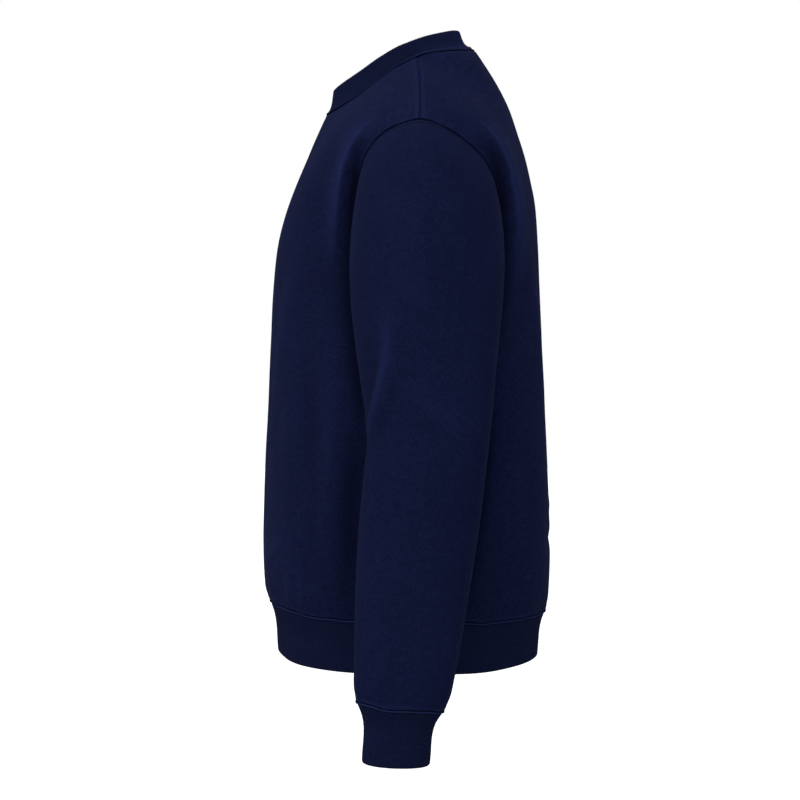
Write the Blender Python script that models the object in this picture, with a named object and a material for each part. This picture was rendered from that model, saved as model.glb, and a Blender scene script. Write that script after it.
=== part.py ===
"""Crewneck sweatshirt in its worn form with no wearer: eight cut and sewn pieces of cloth.

The front faces -Y, the wearer's left is +X and up is +Z.  The origin lies midway between the
two points where the shoulder seams meet the neck seam.  Each piece is a closed wall of cloth;
pieces end a seam gap apart, on faces that share one inward direction along each seam.
"""
import bpy
import numpy as np

# Sizes are in millimetres until the mesh is written in metres
METRES = 0.001
FLEECE = 2.0
DOUBLED_RIB = 3.0
SEAM_GAP = 0.3
RIB_RELIEF = 0.5
LONGEST_MITRE = 1.4
SAME_POINT = 0.05
FRONT_ROUNDNESS = 0.05
BACK_ROUNDNESS = 0.09
TUBE_ROUNDNESS = 0.04
SEAM_DIAGONAL = (0.2, 0.5, 0.8)

# Cells of each piece's grid
NECK_CELLS_FRONT = 8
NECK_CELLS_BACK = 6
SHOULDER_CELLS = 6
ARMHOLE_CELLS = 12
CAP_CELLS = 6
COLLAR_RIBS_A_CELL = 5
HEM_RIBS_A_CELL = 5
CUFF_RIBS_A_CELL = 3

# Degrees round the hem that lie under the neckline, from the centre line
NECK_SPAN_FRONT = 50.0
NECK_SPAN_BACK = 48.0

# How late each panel turns back over the shoulder, as powers of the way up the armhole, and
# how far round the body, in degrees, that turn spreads at the underarm
TURN_BACK_POWER = 4.5
RISE_POWER = 2.2
TURN_SPREAD = 45.0

NECK_HALF_WIDTH = 88.0
NECK_FRONT = 98.3
NECK_BACK = 64.5
COLLAR_TOP_HALF_WIDTH = 78.5
COLLAR_TOP_CENTRE = -10.0
COLLAR_TOP_FRONT = 80.6
COLLAR_TOP_BACK = 56.9
# The collar leans in quickly above its seam: shares of its way in and of its way up
COLLAR_BEND = (0.65, 0.65, 0.33)

FLEECE_COLOUR = (0.010, 0.014, 0.042, 1.0)
RIB_COLOUR = (0.009, 0.012, 0.034, 1.0)
FLEECE_ROUGHNESS = 0.95
RIB_ROUGHNESS = 0.9

# Level sections of the body from the hem seam up to the underarm
# Columns: height, tilt, front, back, half_width, side_seam
BODY = (
    (-587.0, -0.022, -160.0, 140.2, 187.0, -7.0),
    (-574.0, -0.020, -164.3, 142.6, 192.0, -6.0),
    (-558.0, -0.015, -165.8, 143.8, 195.5, -5.0),
    (-521.0, -0.008, -166.5, 145.0, 197.5, -3.0),
    (-481.0, -0.003, -165.4, 144.3, 197.0, -1.0),
    (-441.0, 0.000, -164.3, 142.9, 195.0, 1.0),
    (-401.0, 0.000, -163.2, 141.2, 192.0, 3.0),
    (-361.0, 0.000, -161.9, 139.2, 188.0, 5.0),
    (-323.0, 0.000, -160.5, 137.6, 184.0, 8.0),
    (-290.0, 0.000, -159.0, 136.5, 180.0, 10.0),
)

# Centre lines above the underarm, up to the neck seam
# Columns: y, height
CENTRE_FRONT = (
    (-159.0, -290.0), (-157.7, -257.0), (-154.6, -217.0), (-151.0, -191.0), (-144.5, -164.6),
    (-135.7, -138.0), (-125.8, -111.8), (-114.8, -85.0), (-103.2, -60.0), (-98.3, -50.2),
)
CENTRE_BACK = (
    (136.5, -290.0), (133.6, -230.6), (131.9, -191.0), (129.4, -151.0), (125.0, -125.0),
    (119.5, -98.6), (111.8, -72.2), (103.0, -45.8), (89.8, -19.4), (73.3, 7.0), (64.5, 19.7),
)

# The armhole seam from the shoulder tip, down the front, under the arm and up the back
# Columns: x, y, height
ARMHOLE = (
    (226.0, 1.8, -84.5), (219.0, -18.0, -88.3), (204.0, -37.5, -97.3), (185.0, -53.0, -116.0),
    (172.0, -60.0, -145.0), (165.5, -63.0, -182.0), (167.0, -60.0, -221.0), (171.5, -47.0, -257.0),
    (177.5, -20.0, -282.0), (180.0, 10.0, -290.0), (177.5, 40.0, -284.0), (171.0, 64.0, -262.0),
    (164.0, 77.0, -226.0), (162.5, 81.5, -187.0), (170.0, 79.5, -149.0), (187.0, 68.0, -121.0),
    (207.0, 47.0, -103.0), (221.0, 22.0, -89.6),
)
UNDERARM = 9

# The shoulder seam from the neck seam to the shoulder tip
# Columns: x, y, height
SHOULDER = (
    (88.0, 0.0, 0.0), (120.0, 1.2, -15.0), (155.0, 2.2, -33.5), (188.0, 2.3, -54.5),
    (210.0, 2.0, -71.0), (226.0, 1.8, -84.5),
)

# Heights round the neck seam and the collar's fold, by degrees from the centre front
# Columns: degrees, height
NECK_SEAM = (
    (0.0, -50.2), (33.0, -47.0), (52.0, -37.0), (66.5, -22.5), (79.5, -8.5), (90.0, 0.0),
    (112.0, 7.0), (136.0, 12.0), (180.0, 19.7),
)
COLLAR_FOLD = (
    (0.0, -22.9), (25.0, -20.5), (51.0, -10.0), (68.7, 2.8), (84.3, 14.0), (103.4, 22.3),
    (127.7, 30.2), (155.3, 38.0), (180.0, 41.5),
)

# Sections of the left sleeve below its cap, down to the cuff seam
# Columns: height, front, back, centre_x, half_width, lean, roll
SLEEVE = (
    (-340.0, -57.5, 75.3, 251.0, 52.0, -0.010, 0.050),
    (-368.0, -53.6, 73.0, 254.5, 50.5, -0.020, 0.060),
    (-391.0, -49.6, 70.4, 257.5, 49.0, -0.035, 0.060),
    (-405.0, -49.7, 68.6, 259.0, 48.5, -0.045, 0.060),
    (-432.0, -52.6, 65.2, 262.0, 47.0, -0.060, 0.060),
    (-470.0, -56.3, 60.6, 266.0, 44.5, -0.075, 0.060),
    (-510.0, -59.3, 54.6, 270.0, 42.0, -0.085, 0.060),
    (-550.0, -61.0, 48.0, 274.5, 39.5, -0.090, 0.060),
    (-590.0, -61.9, 41.3, 279.0, 37.0, -0.090, 0.055),
    (-620.0, -62.4, 35.8, 282.5, 35.0, -0.090, 0.045),
    (-643.0, -62.5, 30.2, 285.5, 33.0, -0.085, 0.035),
    (-657.7, -60.4, 24.4, 287.0, 30.0, -0.080, 0.030),
)
CUFF = (
    (-657.7, -60.4, 24.4, 287.0, 30.0, -0.080, 0.030),
    (-667.0, -55.4, 17.8, 287.6, 26.5, -0.076, 0.030),
    (-709.0, -54.4, 10.4, 290.0, 24.0, -0.070, 0.030),
)
WAISTBAND = (
    (-587.0, -0.022, -160.0, 140.2, 187.0, -7.0),
    (-596.5, -0.015, -156.2, 136.6, 184.0, -7.0),
    (-639.0, -0.004, -151.2, 131.2, 180.0, -8.0),
)

# The largest folds: ridge height, half width and the path (y, height) on either side of the body
# Columns: rise, half_width, path
BODY_FOLDS = (
    (5.0, 13.0, ((-52.0, -82.0), (-69.0, -104.0), (-78.0, -140.0), (-83.0, -186.0), (-86.0, -225.0))),
    (6.0, 14.0, ((70.0, -80.0), (87.0, -109.0), (98.0, -150.0), (102.0, -195.0), (98.0, -260.0))),
    (-3.0, 13.0, ((-112.0, -250.0), (-113.0, -350.0), (-111.0, -450.0), (-108.0, -570.0))),
    (2.0, 12.0, ((-88.0, -300.0), (-89.0, -400.0), (-88.0, -480.0))),
)
SLEEVE_FOLDS = (
    (4.0, 10.0, ((-49.0, -397.0), (-39.0, -358.0), (-32.0, -324.0), (-28.0, -270.0))),
    (-3.0, 10.0, ((-50.0, -372.0), (-45.0, -345.0), (-43.0, -300.0))),
)


def unit(vectors):
    """Scale vectors along the last axis to length one."""
    return vectors / np.linalg.norm(vectors, axis=-1, keepdims=True)


def smooth(at, knots, values):
    """Cubic through a table, each knot's slope taken across its neighbours."""
    at = np.asarray(at, float)
    knots = np.asarray(knots, float)
    values = np.asarray(values, float)
    slopes = np.gradient(values, knots, axis=0)
    i = np.clip(np.searchsorted(knots, at, side="right") - 1, 0, len(knots) - 2)
    shape = at.shape + (1,) * (values.ndim - 1)
    step = (knots[i + 1] - knots[i]).reshape(shape)
    t = (at - knots[i]).reshape(shape) / step
    start = values[i] * (1 + 2 * t) * (1 - t) ** 2 + slopes[i] * step * t * (1 - t) ** 2
    end = values[i + 1] * t * t * (3 - 2 * t) + slopes[i + 1] * step * t * t * (t - 1)
    return start + end


def along(rows, first, last, fractions):
    """Points at fractions of the length of the smooth curve between two rows."""
    rows = np.asarray(rows, float)
    dense = smooth(np.linspace(first, last, 600), np.arange(len(rows)), rows)
    length = np.concatenate(([0.0], np.cumsum(np.linalg.norm(np.diff(dense, axis=0), axis=1))))
    wanted = np.asarray(fractions) * length[-1]
    return np.stack([np.interp(wanted, length, axis) for axis in dense.T], axis=-1)


def even_height(degrees, table):
    """Height round a loop that is alike on both sides of its centre front and back."""
    rows = np.array(table)
    before = rows[3:0:-1] * (-1, 1)
    after = rows[-2:-5:-1] * (-1, 1) + (360, 0)
    rows = np.vstack((before, rows, after))
    folded = 180.0 - np.abs(np.asarray(degrees) % 360.0 - 180.0)
    return smooth(folded, rows[:, 0], rows[:, 1])


def loop(degrees, half_width, centre, front, back, table):
    """Two half ellipses that meet at the sides, raised by a table of heights."""
    angle = np.radians(degrees)
    depth = np.where(np.cos(angle) > 0, front, back)
    y = centre - depth * np.cos(angle)
    return np.stack((half_width * np.sin(angle), y, even_height(degrees, table)), axis=-1)


def neck_loop(degrees):
    """The neck seam."""
    return loop(degrees, NECK_HALF_WIDTH, 0.0, NECK_FRONT, NECK_BACK, NECK_SEAM)


def collar_fold(degrees):
    """The collar's folded top edge."""
    sizes = (COLLAR_TOP_HALF_WIDTH, COLLAR_TOP_CENTRE, COLLAR_TOP_FRONT, COLLAR_TOP_BACK)
    return loop(degrees, *sizes, COLLAR_FOLD)


def full(angle, amount):
    """How far a section swells between its widest points, so that it is rounder than an ellipse."""
    return 1.0 + amount * np.sin(2 * angle) ** 2


def body_ring(degrees, row):
    """A level section of the body or waistband at degrees from the centre front."""
    height, tilt, front, back, half_width, side = row
    angle = np.radians(degrees)
    ahead = np.cos(angle) > 0
    reach = np.where(ahead, side - front, back - side)
    swell = full(angle, np.where(ahead, FRONT_ROUNDNESS, BACK_ROUNDNESS))
    x = half_width * np.sin(angle) * swell
    y = side - reach * np.cos(angle) * swell
    return np.stack((x, y, height + tilt * y), axis=-1)


def tube_ring(degrees, row):
    """A section of the left sleeve or cuff at degrees from its outermost line, front first."""
    height, front, back, centre_x, half_width, lean, roll = row
    angle = np.radians(degrees)
    swell = full(angle, TUBE_ROUNDNESS)
    x = half_width * np.cos(angle) * swell
    y = -0.5 * (back - front) * np.sin(angle) * swell
    z = height + lean * y + roll * x
    return np.stack((centre_x + x, 0.5 * (front + back) + y, z), axis=-1)


def armhole(fractions, front):
    """Points up the front or back of the armhole, from the underarm to the shoulder tip."""
    count = len(ARMHOLE)
    rows = np.array([ARMHOLE[i % count] for i in range(-3, count + 4)])
    tip = 3 if front else 3 + count
    return along(rows, 3 + UNDERARM, tip, fractions)


def distance_to_path(points, path):
    """Distance in (y, height) from points to a path, and how far along the path each lies."""
    path = np.asarray(path, float)
    best = np.full(points.shape[:-1], np.inf)
    share = np.zeros(points.shape[:-1])
    for i, (start, step) in enumerate(zip(path[:-1], np.diff(path, axis=0))):
        offset = points[..., 1:] - start
        t = np.clip(offset @ step / (step @ step), 0.0, 1.0)
        gap = np.linalg.norm(offset - t[..., None] * step, axis=-1)
        nearer = gap < best
        best = np.where(nearer, gap, best)
        share = np.where(nearer, (i + t) / (len(path) - 1), share)
    return best, share


def fold_rise(points, folds):
    """Height of all the folds over points: a bell across each path, fading at its ends."""
    total = np.zeros(points.shape[:-1])
    for rise, half_width, path in folds:
        gap, share = distance_to_path(points, path)
        fade = np.sin(np.pi * np.clip(share, 0.06, 0.94)) ** 0.6
        total += rise * fade * np.exp(-((gap / half_width) ** 2))
    return total


def half_panel_top(neck_cells, front):
    """Top edge of half a panel: neckline from the centre line, then the shoulder seam."""
    neck_degrees = np.linspace(0.0, 90.0, neck_cells + 1)
    if not front:
        neck_degrees = 180.0 - neck_degrees
    shoulder = along(SHOULDER, 0, len(SHOULDER) - 1, np.linspace(0, 1, SHOULDER_CELLS + 1))
    return np.vstack((neck_loop(neck_degrees), shoulder[1:]))


def half_panel(front):
    """Outer points of the left half of a panel, hem seam row first, centre column first."""
    neck_cells = NECK_CELLS_FRONT if front else NECK_CELLS_BACK
    span = NECK_SPAN_FRONT if front else NECK_SPAN_BACK
    top = half_panel_top(neck_cells, front)
    neck_part = np.linspace(0.0, span, neck_cells + 1)
    hem_degrees = np.concatenate((neck_part, np.linspace(span, 90.0, SHOULDER_CELLS + 1)[1:]))
    turned = hem_degrees if front else 180.0 - hem_degrees
    lower = [body_ring(turned, row) for row in BODY]
    way = np.linspace(0.0, 1.0, ARMHOLE_CELLS + 1)
    centre_rows = CENTRE_FRONT if front else CENTRE_BACK
    centre = along(centre_rows, 0, len(centre_rows) - 1, way)
    side = armhole(way, front)
    top_width = np.clip(top[:, 0] / side[-1, 0], 0.0, 1.0)
    top_share = 0.5 * (top_width + np.degrees(np.arcsin(top_width)) / 90.0)
    rows = zip(way, centre, side)
    swell = FRONT_ROUNDNESS if front else BACK_ROUNDNESS
    upper = [upper_row(s, c, e, hem_degrees / 90.0, top_share, swell) for s, c, e in rows]
    lift = top - upper[-1]
    powers = np.array((TURN_BACK_POWER, TURN_BACK_POWER, RISE_POWER))
    rows = zip(way, upper)
    upper = [row + spread(lift, hem_degrees, np.sqrt(1.0 - s)) * s ** powers for s, row in rows]
    return np.array(lower + upper[1:])


def spread(lift, degrees, amount):
    """A row of lifts spread sideways, alike on both sides of the centre and none at the side."""
    if amount < SAME_POINT:
        return lift
    whole = np.concatenate((degrees, -degrees[1:], 180.0 - degrees[:-1], degrees[:-1] - 180.0))
    signed = np.concatenate((lift, lift[1:], -lift[:-1], -lift[:-1]))
    share = np.exp(-0.5 * ((degrees[:, None] - whole[None]) / (TURN_SPREAD * amount)) ** 2)
    weight = np.gradient(degrees)
    share *= np.concatenate((weight, weight[1:], weight[:-1], weight[:-1]))
    return share @ signed / share.sum(axis=1, keepdims=True)


def upper_row(way, centre, side, hem_share, top_share, swell):
    """A row above the underarm: an oval from the centre line, cut off at the armhole."""
    middle = BODY[-1][-1] * (1.0 - way) + side[1] * way
    angles = np.radians(np.linspace(0.0, 90.0, 181))
    reach = np.cos(angles) * full(angles, swell)
    end = np.interp(-(side[1] - middle) / (centre[0] - middle), -reach, angles)
    angle = (hem_share + (top_share - hem_share) * way) * end
    x = side[0] * np.sin(angle) * full(angle, swell) / (np.sin(end) * full(end, swell))
    y = middle + (centre[0] - middle) * np.cos(angle) * full(angle, swell)
    level = (np.cos(angle) ** 2 - np.cos(end) ** 2) / np.sin(end) ** 2
    return np.stack((x, y, side[2] + (centre[1] - side[2]) * level), axis=-1)


def both_halves(half):
    """A whole panel from its left half, columns from the wearer's right to the left."""
    mirrored = half[:, :0:-1] * (-1, 1, 1)
    return np.concatenate((mirrored, half), axis=1)


def grid_normals(points, closed):
    """Outward unit normals of a grid of points, whose columns run round a hollow."""
    rows = np.gradient(points, axis=0)
    if closed:
        columns = np.roll(points, -1, axis=1) - np.roll(points, 1, axis=1)
    else:
        columns = np.gradient(points, axis=1)
    normals = unit(np.cross(columns, rows))
    middle = points.mean(axis=(0, 1))
    facing = np.sum(normals * (points - middle))
    return normals * np.sign(facing)


def panel(front):
    """Outer points of the front or back, with its folds raised inside its seams."""
    points = both_halves(half_panel(front))
    normals = grid_normals(points, False)
    if front:
        normals *= np.sign(-normals[0, points.shape[1] // 2, 1])
    else:
        normals *= np.sign(normals[0, points.shape[1] // 2, 1])
    rise = fold_rise(points, BODY_FOLDS)
    rise[0] = rise[-1] = 0.0
    rise[:, 0] = rise[:, -1] = 0.0
    return points + normals * rise[..., None]


def sleeve_cap(ring_degrees):
    """Rows of the sleeve from the armhole to its first full section."""
    way = np.linspace(0.0, 1.0, ARMHOLE_CELLS + 1)
    start = np.vstack((armhole(way, True)[::-1], armhole(way, False)[1:-1]))
    end = tube_ring(ring_degrees, SLEEVE[0])
    after = tube_ring(ring_degrees, SLEEVE[1])
    angle = np.radians(ring_degrees)[:, None]
    share = 0.5 * (1.0 + np.cos(angle))
    outward = np.hstack((0.45 + 0.40 * share, -0.17 * np.sin(angle), -0.85 + 0.33 * share))
    reach = np.linalg.norm(end - start, axis=1)[:, None]
    leave = unit(outward) * reach * 1.1
    arrive = unit(after - end) * reach * 0.8
    rows = []
    for t in np.linspace(0.0, 1.0, CAP_CELLS + 1):
        head = start * (1 + 2 * t) * (1 - t) ** 2 + leave * t * (1 - t) ** 2
        rows.append(head + end * t * t * (3 - 2 * t) + arrive * t * t * (t - 1))
    return rows


def sleeve():
    """Outer points of the left sleeve, armhole row first, shoulder tip first in each row."""
    degrees = np.linspace(0.0, 360.0, 2 * ARMHOLE_CELLS, endpoint=False)
    rows = sleeve_cap(degrees) + [tube_ring(degrees, row) for row in SLEEVE[1:]]
    points = np.array(rows)
    normals = grid_normals(points, True)
    rise = fold_rise(points, SLEEVE_FOLDS) * (points[..., 0] > SLEEVE[0][3])
    rise[0] = rise[-1] = 0.0
    return points + normals * rise[..., None]


def between(coarse, parts):
    """Points that cut each straight side of a closed ring into equal parts."""
    following = np.roll(coarse, -1, axis=0)
    share = np.arange(parts)[None, :, None] / parts
    return (coarse[:, None] * (1 - share) + following[:, None] * share).reshape(-1, 3)


def finer(degrees, parts):
    """Angles that cut each step of a closed round of angles into equal parts."""
    following = np.append(degrees[1:], degrees[0] + 360.0)
    share = np.arange(parts)[None, :] / parts
    return (degrees[:, None] * (1 - share) + following[:, None] * share).ravel()


def hem_degrees():
    """Angles of the body's columns all round the hem, from the centre front."""
    shoulder = SHOULDER_CELLS
    front = np.concatenate((
        np.linspace(0.0, NECK_SPAN_FRONT, NECK_CELLS_FRONT + 1),
        np.linspace(NECK_SPAN_FRONT, 90.0, shoulder + 1)[1:],
    ))
    back = np.concatenate((
        np.linspace(90.0, 180.0 - NECK_SPAN_BACK, shoulder + 1)[1:],
        np.linspace(180.0 - NECK_SPAN_BACK, 180.0, NECK_CELLS_BACK + 1)[1:],
    ))
    left = np.concatenate((front, back))
    return np.concatenate((left, 360.0 - left[-2:0:-1]))


def neck_degrees():
    """Angles of the panels' columns all round the neck, from the centre front."""
    front = np.linspace(0.0, 90.0, NECK_CELLS_FRONT + 1)
    back = np.linspace(90.0, 180.0, NECK_CELLS_BACK + 1)[1:]
    left = np.concatenate((front, back))
    return np.concatenate((left, 360.0 - left[-2:0:-1]))


def cuff_degrees():
    """Angles of the sleeve's columns round the cuff."""
    return np.linspace(0.0, 360.0, 2 * ARMHOLE_CELLS, endpoint=False)


def collar_rows(degrees):
    """Rows of the collar's outer side: neck seam, above the seam, folded edge."""
    low = neck_loop(degrees)
    high = collar_fold(degrees)
    return np.array((low, low + (high - low) * COLLAR_BEND, high))


def cuff_rows(degrees):
    """Rows of the left cuff's outer side, from its seam down."""
    return np.array([tube_ring(degrees, row) for row in CUFF])


def waistband_rows(degrees):
    """Rows of the waistband's outer side, from its seam down."""
    return np.array([body_ring(degrees, row) for row in WAISTBAND])


def ribbed(make_rows, degrees, ribs_a_cell):
    """Outer points of a rib band: plain along its seam, raised at every second point elsewhere."""
    parts = 2 * ribs_a_cell
    points = make_rows(finer(degrees, parts))
    normals = grid_normals(points, True)
    points[0] = between(make_rows(degrees)[0], parts)
    raised = np.arange(points.shape[1]) % 2 == 0
    points[1:, raised] += normals[1:, raised] * RIB_RELIEF
    return points


class Piece:
    """A piece of cloth: its outer grid, thickness and the runs of seam along its edges."""

    def __init__(self, name, points, closed, thickness, runs):
        self.name = name
        self.points = points
        self.closed = closed
        self.thickness = thickness
        self.runs = runs
        self.normals = grid_normals(points, closed)
        self.down = -self.normals
        self.shift = np.zeros_like(points)


def run(rows, columns, inside):
    """A run of seam: grid indices, and the step from each to its neighbour inside the piece."""
    rows, columns = np.broadcast_arrays(rows, columns)
    return rows, columns, inside


def panel_runs(points, neck_cells):
    """The seams round a panel: hem, sides, armholes, shoulders and neckline."""
    last_row = points.shape[0] - 1
    last = points.shape[1] - 1
    under = len(BODY) - 1
    middle = last // 2
    low = np.arange(under + 1)
    high = np.arange(under, last_row + 1)
    left_neck = middle - neck_cells
    right_neck = middle + neck_cells
    return (
        run(0, np.arange(last + 1), (1, 0)),
        run(low, 0, (0, 1)),
        run(low, last, (0, -1)),
        run(high, 0, (0, 1)),
        run(high, last, (0, -1)),
        run(last_row, np.arange(left_neck + 1), (-1, 0)),
        run(last_row, np.arange(left_neck, right_neck + 1), (-1, 0)),
        run(last_row, np.arange(right_neck, last + 1), (-1, 0)),
    )


def tube_runs(points, rows):
    """Closed seams round a tube at the given rows."""
    columns = np.arange(points.shape[1])
    return tuple(run(row, columns, (1 if row == 0 else -1, 0)) for row in rows)


def edge_points(piece):
    """Grid indices of every point on the piece's seams."""
    rows = np.concatenate([r for r, _, _ in piece.runs])
    columns = np.concatenate([c for _, c, _ in piece.runs])
    pairs = np.unique(np.stack((rows, columns), axis=1), axis=0)
    return pairs[:, 0], pairs[:, 1]


def share_seams(pieces):
    """Give all pieces that meet at a seam point one inward direction there."""
    places = [edge_points(piece) for piece in pieces]
    points = np.vstack([p.points[at] for p, at in zip(pieces, places)])
    normals = np.vstack([p.normals[at] for p, at in zip(pieces, places)])
    apart = np.linalg.norm(points[:, None] - points[None], axis=2)
    shared = -unit((apart < SAME_POINT).astype(float) @ normals)
    begin = 0
    for piece, at in zip(pieces, places):
        piece.down[at] = shared[begin:begin + len(at[0])]
        begin += len(at[0])


def draw_back(piece):
    """Shift each seam edge half the seam gap into its own piece, square to the seam's face."""
    for rows, columns, inside in piece.runs:
        line = piece.points[rows, columns]
        if piece.closed:
            tangent = np.roll(line, -1, axis=0) - np.roll(line, 1, axis=0)
        else:
            tangent = np.gradient(line, axis=0)
        side = unit(np.cross(tangent, piece.down[rows, columns]))
        inner = piece.points[rows + inside[0], columns + inside[1]]
        side *= np.sign(np.sum(side * (inner - line), axis=1))[:, None]
        piece.shift[rows, columns] += side * SEAM_GAP / 2


def inner_points(piece):
    """Inner side of the wall, mitred along the seams."""
    facing = -np.sum(piece.normals * piece.down, axis=-1, keepdims=True)
    mitre = np.minimum(1.0 / np.maximum(facing, 0.1), LONGEST_MITRE)
    return piece.points + piece.shift + piece.down * piece.thickness * mitre


def grid_faces(points, closed, offset, flip):
    """Triangles of a grid, each cell cut along its shorter diagonal."""
    rows, columns = points.shape[:2]
    faces = []
    for r in range(rows - 1):
        for c in range(columns if closed else columns - 1):
            d = (c + 1) % columns
            corners = ((r, c), (r, d), (r + 1, d), (r + 1, c))
            rising = np.linalg.norm(points[corners[0]] - points[corners[2]])
            falling = np.linalg.norm(points[corners[1]] - points[corners[3]])
            if rising > falling:
                corners = corners[1:] + corners[:1]
            face = [offset + i * columns + j for i, j in corners]
            for triangle in ((face[0], face[1], face[2]), (face[0], face[2], face[3])):
                faces.append(triangle[::-1] if flip else triangle)
    return faces


def panel_rim(rows, columns):
    """Vertex indices round the edge of an open grid, in order."""
    bottom = [c for c in range(columns)]
    right = [r * columns + columns - 1 for r in range(1, rows)]
    top = [(rows - 1) * columns + c for c in range(columns - 2, -1, -1)]
    left = [r * columns for r in range(rows - 2, 0, -1)]
    return bottom + right + top + left


def rim_faces(a, b, count, key):
    """Two triangles between neighbours on the rim and the points inside them.

    The diagonal starts at the point with the lower key, so that two pieces agree on it.
    """
    if key[a] < key[b]:
        return [(b, a, b + count), (a, a + count, b + count)]
    return [(b, a, a + count), (b, a + count, b + count)]


def plain_wall(piece):
    """Vertices and faces of a wall whose two sides have the same grid."""
    outer = piece.points + piece.shift
    rows, columns = outer.shape[:2]
    count = rows * columns
    inner = inner_points(piece)
    vertices = np.vstack((outer.reshape(-1, 3), inner.reshape(-1, 3)))
    faces = grid_faces(outer, piece.closed, 0, False)
    faces += grid_faces(inner, piece.closed, count, True)
    if piece.closed:
        rims = [list(range(columns)), [count - 1 - c for c in range(columns)]]
    else:
        rims = [panel_rim(rows, columns)]
    key = (np.abs(outer.reshape(-1, 3)) @ SEAM_DIAGONAL).tolist()
    for rim in rims:
        for a, b in zip(rim, rim[1:] + rim[:1]):
            faces += rim_faces(a, b, count, key)
    return vertices, faces


def fan(fine, coarse, flip):
    """Triangles between a ring cut into equal parts and the plain ring beside it."""
    faces = []
    parts = len(fine) // len(coarse)
    for i, here in enumerate(coarse):
        there = coarse[(i + 1) % len(coarse)]
        side = [fine[(i * parts + k) % len(fine)] for k in range(parts + 1)]
        half = parts // 2
        faces += [(side[k], side[k + 1], here) for k in range(half)]
        faces.append((side[half], there, here))
        faces += [(side[k], side[k + 1], there) for k in range(half, parts)]
    return [face[::-1] for face in faces] if flip else faces


def rib_wall(piece, outer):
    """Vertices and faces of a rib band: a fine outer side over a plain inner side."""
    rows, columns = outer.shape[:2]
    coarse = piece.points.shape[1]
    parts = columns // coarse
    outer = outer.copy()
    outer[0] += between(piece.shift[0], parts)
    count = rows * columns
    inner = inner_points(piece)
    vertices = np.vstack((outer.reshape(-1, 3), inner.reshape(-1, 3)))
    faces = grid_faces(outer, True, 0, False)
    faces += grid_faces(inner, True, count, True)
    first = list(range(columns))
    last = [count - columns + c for c in range(columns)]
    inner_first = [count + c for c in range(coarse)]
    inner_last = [count + (rows - 1) * coarse + c for c in range(coarse)]
    faces += fan(first, inner_first, True)
    faces += fan(last, inner_last, False)
    return vertices, faces


def signed_volume(vertices, faces):
    """Six times the volume inside the faces, negative where they point inwards."""
    total = 0.0
    for face in faces:
        a = vertices[face[0]]
        for b, c in zip(face[1:-1], face[2:]):
            total += float(np.dot(a, np.cross(vertices[b], vertices[c])))
    return total


def cloth_material(name, colour, roughness):
    """A plain matt cloth material."""
    material = bpy.data.materials.new(name)
    material.use_nodes = True
    shader = material.node_tree.nodes["Principled BSDF"]
    shader.inputs["Base Color"].default_value = colour
    shader.inputs["Roughness"].default_value = roughness
    shader.inputs["Metallic"].default_value = 0.0
    return material


def add_piece(name, vertices, faces, colour, roughness):
    """Make one closed solid in the scene, in metres, shaded smooth."""
    if signed_volume(vertices, faces) < 0:
        faces = [face[::-1] for face in faces]
    mesh = bpy.data.meshes.new(name)
    mesh.from_pydata((vertices * METRES).tolist(), [], faces)
    mesh.polygons.foreach_set("use_smooth", [True] * len(faces))
    mesh.materials.append(cloth_material(name, colour, roughness))
    mesh.update()
    bpy.context.scene.collection.objects.link(bpy.data.objects.new(name, mesh))


def mirrored(points):
    """The same points on the other side of the body."""
    return points * (-1, 1, 1)


def fleece_pieces():
    """Front, back and sleeves."""
    front = panel(True)
    back = panel(False)
    arm = sleeve()
    ends = (0, arm.shape[0] - 1)
    return [
        Piece("front", front, False, FLEECE, panel_runs(front, NECK_CELLS_FRONT)),
        Piece("back", back, False, FLEECE, panel_runs(back, NECK_CELLS_BACK)),
        Piece("sleeve_left", arm, True, FLEECE, tube_runs(arm, ends)),
        Piece("sleeve_right", mirrored(arm), True, FLEECE, tube_runs(arm, ends)),
    ]


def rib_pieces():
    """Collar, waistband and cuffs, each with its ribbed outer side."""
    bands = (
        ("collar", collar_rows, neck_degrees(), COLLAR_RIBS_A_CELL),
        ("waistband", waistband_rows, hem_degrees(), HEM_RIBS_A_CELL),
        ("cuff_left", cuff_rows, cuff_degrees(), CUFF_RIBS_A_CELL),
    )
    pieces = []
    for name, make_rows, degrees, ribs in bands:
        plain = make_rows(degrees)
        fine = ribbed(make_rows, degrees, ribs)
        pieces.append((Piece(name, plain, True, DOUBLED_RIB, tube_runs(plain, (0,))), fine))
    left, fine = pieces[-1]
    right = Piece("cuff_right", mirrored(left.points), True, DOUBLED_RIB, left.runs)
    pieces.append((right, mirrored(fine)))
    return pieces


def main():
    """Build the eight pieces."""
    for thing in list(bpy.data.objects):
        bpy.data.objects.remove(thing, do_unlink=True)
    fleece = fleece_pieces()
    ribs = rib_pieces()
    everything = fleece + [piece for piece, _ in ribs]
    share_seams(everything)
    for piece in everything:
        draw_back(piece)
    for piece in fleece:
        add_piece(piece.name, *plain_wall(piece), FLEECE_COLOUR, FLEECE_ROUGHNESS)
    for piece, fine in ribs:
        add_piece(piece.name, *rib_wall(piece, fine), RIB_COLOUR, RIB_ROUGHNESS)


main()
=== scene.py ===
"""Dressing of the crewneck sweatshirt: knitted cloth, true ribs, seams, stitches, floor and light.

The front faces -Y, the wearer's left is +X and up is +Z.  Tables and shapes are in millimetres
and meshes are written in metres.
"""
from types import SimpleNamespace

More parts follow.
